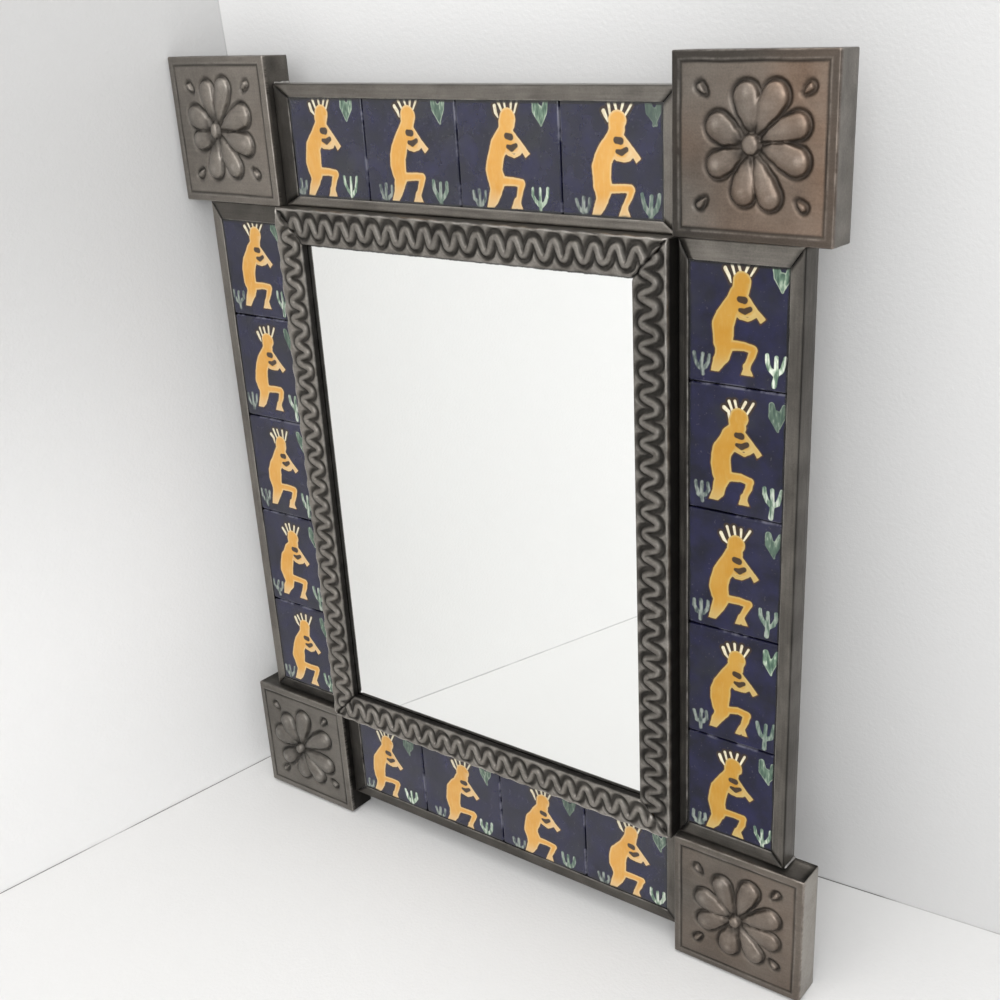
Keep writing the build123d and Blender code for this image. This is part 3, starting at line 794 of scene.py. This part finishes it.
def makeStrip(length, lip, endLips, shade, seed):
    # one folded side of a tray: outer wall, bend and lip, its ends cut to the corners
    section = lipSection(lip)
    count = max(int(length / trayLooks["cell"]), 8)
    across = len(section)
    share = np.linspace(0, 1, count)[:, None]
    inward, height = np.array(section, float).T[:, None, :]
    slit = np.where(inward > 1.0, trayLooks["slit"] * np.clip((inward - 1) / 1.5, 0, 1), 0)
    low, high = inward / lip * endLips[0] + slit, inward / lip * endLips[1] + slit
    x = (-length / 2 + low) * (1 - share) + (length / 2 - high) * share
    far, inward, height = (np.broadcast_to(value, x.shape) for value in (share * length, inward, height))
    onLip = np.clip((inward - 0.9) / lip, 0, 1)
    d = inward - onLip * trayLooks["waver"] * (1 + softNoise(far, inward, 17.0, seed))
    z = height - onLip * trayLooks["waver"] * (1 + softNoise(far, inward * 2, 13.0, seed + 1)) * 0.8
    dent = 0.12 * (1 + softNoise(far, height, 20.0, seed + 2))
    d = d + np.clip(height / layout["trayDepth"], 0, 1) * (inward < 0.05) * dent
    edge = np.clip(1 - abs(lip - inward - 0.2) / 0.4, 0, 1)
    bend = np.clip(1 - abs(inward - 0.3) / 0.5, 0, 1) * (height > 9)
    patch = softNoise(far, inward * 1.5, 7.0, seed + 3)
    wear_and_sheen = np.clip(0.5 * edge * (1 + 0.5 * patch), 0, 1)
    nearEnd = np.clip(1 - np.minimum(x + length / 2 - low, length / 2 - high - x) / 1.1, 0, 1) * (inward > 1)
    # painted shade: the lip's own shade, and a dark line along the rounded top of the fold; darker too near the cut
    # ends and in blotches
    hollow = np.clip(0.5 * bend + shade + 0.55 * nearEnd + 0.12 * patch, 0, 1)
    points = np.stack([x, -d, z], 2).reshape(-1, 3)
    return points, gridFaces(count, across, flip=True), hollow.ravel(), wear_and_sheen.ravel()


def makeTray(side):
    length, width = sides[side]["length"], layout["trayWidth"]
    seed = list(sides).index(side) * 20 + 100
    first, last = trayLooks["lipEnds"][side]
    outer, inner = trayLooks["lipOuter"], trayLooks["lipInner"]
    # outer lip, inner lip and the two ends: turn, run, lip, the lips that they meet, and place
    strips = [(0, length, outer, (first, last), (0, width)), (180, length, inner, (last, first), (0, 0)),
              (90, width, first, (inner, outer), (-length / 2, width / 2)),
              (-90, width, last, (outer, inner), (length / 2, width / 2))]
    start, allPoints, allFaces, marks = 0, [], [], {"hollow": [], "wear_and_sheen": [], "upright": []}
    for (turn, run, lip, endLips, shift), shade in zip(strips, trayLooks["shades"][side]):
        points, faces, hollow, wear_and_sheen = makeStrip(run, lip, endLips, shade, seed + turn % 7)
        a, (x, y, z) = radians(turn), points.T
        allPoints.append(np.stack([x * cos(a) - y * sin(a) + shift[0], x * sin(a) + y * cos(a) + shift[1], z], 1))
        allFaces.append(faces + start)
        marks["hollow"].append(hollow)
        marks["wear_and_sheen"].append(wear_and_sheen)
        marks["upright"].append(np.full(len(points), float((abs(turn) == 90) != (side in ("left", "right")))))
        start += len(points)
    points = placeOnSide(np.concatenate(allPoints), side)
    piece = makeMesh("trayLips_" + side, toRow(points), np.concatenate(allFaces),
                     {mark: np.concatenate(values) for mark, values in marks.items()})
    weld(piece)
    thicken(piece, sheet)
    finishPiece(piece, foldedTin, "tin", "mirror", "tray_" + side)


def makeTrayBack(side):
    length, width = sides[side]["length"], layout["trayWidth"]
    seed = list(sides).index(side) * 20 + 300
    xs = np.linspace(-length / 2, length / 2, int(length / trayLooks["backCell"]))
    ys = np.linspace(0, width, trayLooks["backRows"])
    x, y = np.meshgrid(xs, ys, indexing="ij")
    fade = np.clip(np.minimum.reduce([x + length / 2, length / 2 - x, y, width - y]) / 5, 0, 1)
    z = 0.02 + 0.16 * fade * (1 + softNoise(x, y, 24.0, seed))
    points = placeOnSide(np.stack([x.ravel(), y.ravel(), z.ravel()], 1), side)
    hollow = np.clip(0.3 * softNoise(x, y, 9.0, seed + 1), 0, 1).ravel()
    piece = makeMesh("trayBack_" + side, toRow(points), gridFaces(len(xs), len(ys), flip=True),
                     {"hollow": hollow, "wear_and_sheen": (1 - fade).ravel() * 0.4})
    thicken(piece, trayLooks["backSheet"])
    finishPiece(piece, backTin, "tin", "mirror")


for side in sides:
    makeTray(side)
    makeTrayBack(side)
print("trays made")

# Tiles: a flute player, two cacti and a hanging leaf, in brush strokes of (across, up, radius).
figure = {
    "back": [(0.9, 13.7, 3.8), (0.5, 12.2, 3.6), (0.4, 10.3, 3.4), (-0.6, 8.6, 3.4), (-2.3, 6.1, 3.65),
             (-4.1, 3.2, 3.95), (-5.7, 0.2, 4.2), (-6.6, -2.9, 4.35), (-6.8, -6.2, 4.3), (-6.4, -9.0, 4.05),
             (-6.1, -11.3, 3.6), (-6.6, -13.9, 2.9), (-7.9, -16.5, 2.45), (-10.4, -21.0, 1.45)],
    "thigh": [(-3.4, -10.0, 1.75), (2.0, -9.9, 1.55), (6.1, -10.3, 1.6)],
    "shin": [(6.2, -10.6, 1.55), (5.5, -12.9, 1.5), (3.7, -17.2, 1.15)],
    "heel": [(3.5, -17.2, 1.25), (1.7, -21.0, 1.1)],
    "toes": [(3.5, -17.2, 1.25), (5.3, -21.0, 1.1)],
    "hand": [(-1.6, 2.3, 0.85), (0.4, 0.6, 0.65), (3.2, 0.15, 0.65), (5.6, 0.9, 0.75), (7.2, 2.6, 0.9)],
    "fill": [(0.0, 6.4, 2.3), (3.0, 4.6, 2.0), (1.0, 2.8, 1.9), (4.4, 2.4, 1.8), (5.4, 3.4, 1.3)],
}
flute = {"stroke": [(2.6, 8.3, 1.1), (7.0, 3.3, 1.05), (11.4, -1.9, 1.6)], "end": (9.9, 0.1)}
soles = -20.4
eyelets = [[(0.1, 7.0, 1.25), (2.0, 6.8, 1.4)], [(0.3, 3.2, 0.8), (2.2, 2.75, 1.25), (4.4, 3.9, 1.0)]]
hair = [[(-5.5, 17.5, 0.8), (-4.3, 15.3, 0.72), (-3.2, 13.2, 0.3)], [(-3.4, 19.8, 0.62), (-1.6, 15.4, 0.4)],
        [(-0.5, 20.6, 0.58), (0.3, 16.2, 0.4)], [(3.0, 20.6, 0.58), (2.3, 16.2, 0.4)],
        [(6.4, 20.4, 0.5), (4.0, 15.6, 0.4)]]
brightCactus = [[(11.6, -12.0, 0.8), (11.8, -14.6, 0.9), (13.0, -17.0, 0.95), (14.9, -18.7, 1.0)],
                [(15.2, -12.4, 0.8), (15.2, -18.6, 0.9), (15.0, -23.0, 1.05)],
                [(18.8, -11.9, 0.8), (18.5, -14.6, 0.9), (17.3, -17.2, 0.95), (15.3, -18.8, 1.0)]]
dimCactus = [[(-18.3, -14.6, 0.7), (-18.1, -17.2, 0.75), (-16.8, -19.0, 0.75)],
             [(-15.3, -14.2, 0.75), (-15.3, -19.6, 0.75)],
             [(-12.2, -14.4, 0.7), (-12.4, -17.4, 0.75), (-13.8, -19.0, 0.75)],
             [(-16.8, -19.2, 0.8), (-15.2, -19.8, 1.0), (-13.8, -19.2, 0.8)],
             [(-15.2, -19.8, 0.9), (-15.2, -22.3, 0.7)]]
leaf = [[(14.0, 20.5, 1.3), (14.8, 16.6, 1.9), (16.9, 11.3, 0.5)],
        [(19.5, 20.5, 1.0), (18.3, 16.6, 1.6), (17.0, 12.2, 0.6)], [(16.2, 16.9, 1.7), (17.0, 15.4, 1.2)]]
# each mark's strokes, how far their points stray, how softly they join, and whether they shift with the figure
brushed = {
    "eyelets": (eyelets, 0.05, 0.1, True), "hair": (hair, 0.3, 0.2, True), "cactus": (brightCactus, 0.2, 0.15, False),
    "dimCactus": (dimCactus, 0.25, 0.2, False), "leaf": (leaf, 0.35, 0.5, False),
}
tileLooks = {"size": 50.35, "thick": 6.0, "cells": 104, "jitter": 0.2, "shift": 0.5, "bevel": 0.9, "lip_shadow": (0.45, 1.0),
             "edge": (0.0, 0.1, 0.3, 0.55, 0.85, 1.3), "inset": 1.8, "thinCactus": (0, 0, 0.15)}
tones = {  # how strongly the leaf and the right hand cactus of each tile were painted
    "top": [(1.0, 1.0), (0.8, 0.4), (1.0, 1.0), (0.25, 0.3)],
    "bottom": [(0.4, 1.0), (0.6, 0.75), (0.35, 0.45), (0.6, 0.8)],
    "left": [(0.7, 0.7), (0.6, 0.8), (0.8, 0.7), (0.7, 0.6), (0.7, 0.8)],
    "right": [(0.9, 1.0), (0.45, 0.7), (0.55, 0.45), (1.0, 0.3), (0.7, 0.8)],
}


def jittered(strokes, random, dx, dy, amount):
    return [[(u + dx + random.normal(0, amount), v + dy + random.normal(0, amount), r * random.uniform(0.93, 1.07))
             for u, v, r in stroke] for stroke in strokes]


def unite(u, v, strokes, soft=0.5):
    total = strokeDistance(u, v, strokes[0])
    for stroke in strokes[1:]:
        total = blendShapes(total, strokeDistance(u, v, stroke), soft)
    return total


def makeTile(side, number, order):
    plan, looks = sides[side], tileLooks
    along = plan["way"] * (number - 1 - (plan["count"] - 1) / 2) * layout["tilePitch"]
    turn, seed = radians(plan["turn"]), 500 + order
    random = np.random.default_rng(seed)
    half, edge = looks["size"] / 2, np.array(looks["edge"])
    inner = np.linspace(-half + looks["inset"], half - looks["inset"], looks["cells"])
    line = np.concatenate([-half + edge, inner, (half - edge)[::-1]])
    count = len(line)
    u, v = np.meshgrid(line, line, indexing="ij")
    away = half - np.maximum(abs(u), abs(v))
    r = looks["bevel"]
    shy = r - np.minimum(away, r)
    z = looks["thick"] - (r - np.sqrt(np.clip(r * r - shy * shy, 0, None)))
    z -= 0.05 * (1 + softNoise(u, v, 12.0, seed + 200)) + 0.10 * (1 - smoothstep(0.0, 4.0, away))
    dx, dy = random.normal(0, looks["shift"]), random.normal(0, looks["shift"] * 0.5)
    bend = u + 0.25 * softNoise(u, v, 9.0, seed + 400), v + 0.25 * softNoise(u, v, 9.0, seed + 450)
    body = unite(*bend, jittered(figure.values(), random, dx, dy, looks["jitter"]))
    tube = jittered([flute["stroke"]], random, dx, dy, 0.15)[0]
    (ax, ay, _), (bx, by, _) = tube[1:]
    run = hypot(bx - ax, by - ay)
    past = ((bend[0] - flute["end"][0] - dx) * (bx - ax) + (bend[1] - flute["end"][1] - dy) * (by - ay)) / run
    body = blendShapes(body, np.maximum(strokeDistance(*bend, tube), past), 0.4)
    body = np.maximum(body, soles + dy - bend[1])
    lipGap = [layout["trayWidth"] / 2 - lip for lip in (trayLooks["lipOuter"], trayLooks["lipInner"])]
    tu, tv = u * cos(turn) + v * sin(turn), v * cos(turn) - u * sin(turn)
    ends = [plan["length"] / 2 - lip for lip in trayLooks["lipEnds"][side]]
    opening = np.minimum.reduce([lipGap[0] - tv, lipGap[1] + tv, ends[0] + tu + along, ends[1] - tu - along])
    opening = opening + 0.25 * softNoise(u, v, 5.0, seed + 480)
    # paler paint on the legs and along the flute
    flutePaint = smoothstep(1.5, 6.5, u) * smoothstep(-9.0, -4.0, v) * (v < 13)
    marks = {
        "figure": body,
        # painted shadow on the tile along the edges of the tray's lips
        "lip_shadow": 0.95 * (1 - smoothstep(*looks["lip_shadow"], opening)),
        "limb": np.maximum(1 - smoothstep(-20.0, -12.0, v), flutePaint),
        "leafTone": np.full(u.shape, tones[side][number - 1][0]),
        "cactusTone": np.full(u.shape, tones[side][number - 1][1]),
        "seam": np.clip(1 - away / 0.8, 0, 1),
    }
    for mark, (strokes, stray, soft, shifts) in brushed.items():
        marks[mark] = unite(*bend, jittered(strokes, random, dx * shifts, dy * shifts, stray), soft)
        if mark == "cactus":
            marks[mark] += random.choice(looks["thinCactus"])
    grid = np.arange(count * count).reshape(count, count)
    border = np.concatenate([grid[:-1, 0], grid[-1, :-1], grid[:0:-1, -1], grid[0, :0:-1]])
    front = np.stack([u.ravel(), v.ravel(), z.ravel()], 1)
    under = front[border] * (1, 1, 0)
    loop = count * count + np.arange(len(border))
    walls = np.stack([border, loop, np.roll(loop, -1), np.roll(border, -1)], 1)
    faces = [*gridFaces(count, count), *walls, loop[::-1]]
    out = plan["distance"] + layout["trayWidth"] / 2
    middle = (along * cos(turn) - out * sin(turn), along * sin(turn) + out * cos(turn), layout["tileBack"])
    points = np.concatenate([front, under]) + middle
    filled = {mark: np.concatenate([values.ravel(), np.full(len(under), 9.0)]) for mark, values in marks.items()}
    piece = makeMesh(f"glazedTile_{side}_{number}", toRow(points), faces, filled)
    piece.data.polygons[len(piece.data.polygons) - 1].use_smooth = False
    # the right column takes the glaze with painted shade
    glaze = shadedGlaze if side == "right" else paintedGlaze
    finishPiece(piece, glaze, "glazed_tile", "mirror", f"tile_{side}_{number}")


order = 0
for side, plan in sides.items():
    for number in range(1, plan["count"] + 1):
        makeTile(side, number, order)
        order += 1
print("tiles made")

# Glass, with rubbed edges
glassLooks = {"halfX": 93.5, "halfY": 120.5, "front": 14.7, "back": 12.3, "edge": 0.4}


def makeGlass():
    halfX, halfY, front, back, edge = glassLooks.values()
    loops = []
    for inset, z in ((edge, back), (0, back + edge), (0, front - edge), (edge, front)):
        x, y = halfX - inset, halfY - inset
        loops.append([(-x, -y, z), (x, -y, z), (x, y, z), (-x, y, z)])
    faces = [(3, 2, 1, 0), (12, 13, 14, 15), *tubeFaces(len(loops), 4)]
    piece = makeMesh("silveredPane", toRow(np.concatenate(loops)), faces, smooth=False)
    finishPiece(piece, silveredGlass, "mirror", "mirror", "mirror_glass")


makeGlass()

# Board, packing and back fittings keep their solids.
setMaterial(nodes["backing_board"], pressedBoard)
for side in sides:
    setMaterial(nodes["tile_packing_" + side], greyCard)
for name in ("backing_tabs", "hanger_bar", "ring_strap"):
    setMaterial(nodes[name], backTin)

# Ring, a triangle of bent wire
ringLooks = {"width": 19.4, "drop": 14.8, "bend": 2.2, "wire": 1.08, "axisY": 95.7, "axisZ": 2.8,
             "bendSteps": 10, "step": 1.2, "around": 18}


def makeRing():
    looks = ringLooks
    corners = [Vector((-looks["width"] / 2, 0)), Vector((looks["width"] / 2, 0)), Vector((0, -looks["drop"]))]
    path = []
    for index, corner in enumerate(corners):
        toBefore = (corners[index - 1] - corner).normalized()
        toAfter = (corners[(index + 1) % 3] - corner).normalized()
        halfAngle = toBefore.angle(toAfter) / 2
        centre = corner + (toBefore + toAfter).normalized() * (looks["bend"] / sin(halfAngle))
        first = corner + toBefore * (looks["bend"] / np.tan(halfAngle)) - centre
        last = corner + toAfter * (looks["bend"] / np.tan(halfAngle)) - centre
        a, b = atan2(first.y, first.x), atan2(last.y, last.x)
        turn = (b - a + pi) % (2 * pi) - pi
        for step in range(looks["bendSteps"] + 1):
            angle = a + turn * step / looks["bendSteps"]
            path.append(centre + Vector((cos(angle), sin(angle))) * looks["bend"])
    filled = []
    for index, point in enumerate(path):
        after = path[(index + 1) % len(path)]
        steps = max(1, int((after - point).length / looks["step"]))
        filled += [point.lerp(after, s / steps) for s in range(steps)]
    count, around = len(filled), looks["around"]
    points = []
    for index, point in enumerate(filled):
        ahead = (filled[(index + 1) % count] - filled[index - 1]).normalized()
        out = Vector((ahead.y, -ahead.x))
        for step in range(around):
            a = 2 * pi * step / around
            spot = point + out * (looks["wire"] * cos(a))
            points.append((spot.x, spot.y + looks["axisY"], looks["axisZ"] + looks["wire"] * sin(a)))
    piece = makeMesh("wireRing", toRow(points), tubeFaces(count, around, closed=True))
    weld(piece, 1e-7, outwards=True)
    finishPiece(piece, drawnWire, "wire", "hanging_ring", "hanging_ring")


makeRing()

# Solder, run down each corner between tray and box
solderLooks = {"leg": 0.9, "height": 9.0, "rows": 30, "arc": 9}


def makeSolder():
    looks = solderLooks
    allPoints, allFaces, start, seed = [], [], 0, 900
    for side, plan in sides.items():
        for end in (-1, 1):
            seed += 7
            rows = np.linspace(0, 1, looks["rows"])
            arc = np.linspace(0, pi / 2, looks["arc"])
            row, angle = np.meshgrid(rows, arc, indexing="ij")
            size = looks["leg"] * (0.7 + 0.3 * softNoise(row * 10, angle, 2.3, seed))
            size *= np.sqrt(np.clip(1 - np.clip((row - 0.93) / 0.07, 0, 1) ** 2, 0, 1)) + 0.02
            bulge = 0.72 + 0.12 * softNoise(row * 12, angle * 3, 2.0, seed + 1)
            radius = 1 - bulge * np.sin(2 * angle) * 0.35
            x = end * (plan["length"] / 2 - size * np.cos(angle) * radius)
            y = layout["trayWidth"] + size * np.sin(angle) * radius - 0.02
            # each row runs round the arc and back through the corner itself
            x = np.append(x, np.full((len(rows), 1), end * plan["length"] / 2), 1)
            y = np.append(y, np.full((len(rows), 1), layout["trayWidth"] - 0.02), 1)
            around = looks["arc"] + 1
            z = np.repeat(rows * looks["height"], around).reshape(x.shape)
            points = np.stack([x, y, z], 2).reshape(-1, 3)
            allPoints.append(placeOnSide(points, side))
            foot = np.arange(around) + start
            top = foot + (looks["rows"] - 1) * around
            allFaces += [*tubeFaces(looks["rows"], around, start=start), foot[::-1], top]
            start += len(points)
    points = np.concatenate(allPoints)
    x, y, z = points.T
    piece = makeMesh("solderRuns", toRow(points), allFaces,
                     {"hollow": np.clip(softNoise(x, y + z, 2.0, 5), 0, 1) * 0.5,
                      "wear_and_sheen": np.clip(softNoise(x, y + z, 1.5, 8), 0, 1)})
    weld(piece, 1e-7, outwards=True)
    finishPiece(piece, dullSolder, "solder", "mirror", "solder_runs")


makeSolder()
print("ring and solder made")

# Room corner, lights and camera
stageLooks = {
    "corner": (-0.1749, 0.0451, -0.1888), "right": (0.3359, 0.0196, 0.0018), "front": (-0.0291, -0.1224, -0.0107),
    "up": (0.0153, -0.0305, 0.3945), "paint": (0.765, 0.76, 0.752),
    "wide": 1.7, "ahead": 1.6, "high": 1.2, "farRun": 1.3,
    # a board that only the glass shows: its foot, right of the corner and ahead of it, and its slope
    "foot": (-0.027, 0.004), "slope": 0.39,
    # each board's share of the paint, which is painted light and shade, and the painted shade that darkens it: along,
    # from, to, share left
    "shares": {"floorBoard": (0.945, "X", 0.1, 0.3, 1.0), "backBoard": (0.97, "X", 0.0, 0.2, 0.84),
               "sideBoard": (1.05, "Z", -0.10, 0.17, 0.70), "farBoard": (1.15, "Z", -0.1, 0.2, 1.0)},
    # dark line where boards meet: half of its width and its strength
    "joints": {"floorBoard": (0.0009, 0.9), "backBoard": (0.0006, 0.8), "farBoard": (0.0012, 0.4)},
}


def makeStagePaint(name, unseen=False):
    made, tree, shader = newMaterial(name)
    place = objectPlace(tree)
    share, along, low, high, left = stageLooks["shares"][name]
    white = [c * share for c in stageLooks["paint"]]
    color = mixColor(noiseAt(place, 3.0, 3.0, 0.5), (*[c * 0.985 for c in white], 1), (*white, 1))
    spot = addNode("ShaderNodeSeparateXYZ", [place])
    # painted shade, darker along one axis of the board
    color = shadeBy(color, remap(spot.output(along), low, high, 1.0, left, soft=True))
    if name in stageLooks["joints"]:
        wide, strength = stageLooks["joints"][name]
        joint = calculate("MINIMUM", readMark(tree, "fromSide"), readMark(tree, "fromBack"))
        patchy = remap(noiseAt(place, 14.0, 2.0, 0.5), 0.40, 0.52, strength * 0.4, strength)
        color = mixColor(remap(joint, wide, wide * 0.5) * patchy, color, (0.06, 0.06, 0.06, 1))
    fill(shader, {"Base Color": color, "Roughness": 0.75, "Normal": bump(noiseAt(place, 600.0, 3.0, 0.6), 0.00015)})
    # from behind, the boards of the room are see-through
    hidden = addNode("ShaderNodeNewGeometry", output="Backfacing", tree=tree)
    if unseen:
        glossy = addNode("ShaderNodeLightPath", output="Is Glossy Ray", tree=tree)
        hidden = calculate("MAXIMUM", hidden, 1.0 - glossy)
    painted = Flow(tree, tree.nodes["Principled BSDF"].outputs[0])
    both = addNode("ShaderNodeMixShader", [hidden, painted, addNode("ShaderNodeBsdfTransparent", tree=tree)])
    fill(tree.nodes["Material Output"].inputs, {"Surface": both})
    return made


def makeStage():
    looks = stageLooks
    corner = Vector(looks["corner"])
    right, front, up = (Vector(looks[way]).normalized() for way in ("right", "front", "up"))
    foot = corner + right * looks["foot"][0] + front * looks["foot"][1]
    far = foot + (right * looks["slope"] + front) * looks["farRun"]
    wide, ahead, high = looks["wide"], looks["ahead"], looks["high"]
    side, back, rise = front * ahead, right * wide, up * high
    away = (9, 9, 9, 9)
    # each board's corners, and how far they are from the joint with the side board and with the back board
    boards = {
        "floorBoard": ([corner, corner + side, corner + side + back, corner + back], (0, 0, wide, wide),
                       (0, ahead, ahead, 0)),
        "backBoard": ([corner, corner + back, corner + back + rise, corner + rise], (0, wide, wide, 0), away),
        "sideBoard": ([corner + side, corner, corner + rise, corner + side + rise], away, away),
        "farBoard": ([far, foot, foot + rise, far + rise], away, (0, 0, high, high)),
    }
    for name, (points, fromSide, fromBack) in boards.items():
        board = makeMesh(name, np.array(points), [(0, 1, 2, 3)], {"fromSide": fromSide, "fromBack": fromBack},
                         smooth=False)
        board.data.materials.append(makeStagePaint(name, name == "farBoard"))


makeStage()

# each lamp's place, aim, size, power and tint
lamps = {
    "ceiling": ((0.1, -0.55, 1.35), (0.0, 0.0, 0.0), 1.3, 13.0, (1.0, 0.985, 0.96)),
    "window": ((0.9, -1.3, 0.55), (-0.1, 0.0, 0.0), 1.1, 13.0, (0.97, 0.985, 1.0)),
}
for name, (place, aim, size, power, tint) in lamps.items():
    light = bpy.data.lights.new(name, "AREA")
    light.shape = "SQUARE"
    light.size, light.energy, light.color = size, power, tint
    holder = addPiece(name, light)
    holder.location = place
    holder.rotation_euler = (Vector(aim) - Vector(place)).to_track_quat("-Z", "Y").to_euler()

world = bpy.data.worlds.new("softRoom")
world.use_nodes = True
fill(world.node_tree.nodes["Background"].inputs, {"Color": (0.93, 0.935, 0.95, 1), "Strength": 0.74})
bpy.context.scene.world = world
bpy.context.scene.view_settings.view_transform = "Standard"

cameraPlan = {  # focal length and shifts in pixels, for a view 1000 pixels wide
    "at": (0.33984, -0.40371, 0.19876),
    "right": (0.83092, 0.55609, -0.02163), "down": (0.19541, -0.32787, -0.92430),
    "width": 1000, "focal": 1237.52, "shiftX": 113.34, "shiftY": 42.19,
}
camera = bpy.data.cameras.new("camera")
camera.sensor_width = 36.0
camera.lens = cameraPlan["focal"] / cameraPlan["width"] * camera.sensor_width
camera.shift_x = -cameraPlan["shiftX"] / cameraPlan["width"]
camera.shift_y = cameraPlan["shiftY"] / cameraPlan["width"]
camera.clip_start = 0.01
viewer = addPiece("camera", camera)
rightWay, downWay = Vector(cameraPlan["right"]).normalized(), Vector(cameraPlan["down"]).normalized()
backWay = rightWay.cross(-downWay).normalized()
downWay = rightWay.cross(backWay).normalized()
turned = Matrix((rightWay, -downWay, backWay)).transposed().to_4x4()
turned.translation = Vector(cameraPlan["at"])
viewer.matrix_world = turned
bpy.context.scene.camera = viewer
print("stage, lights and camera set")
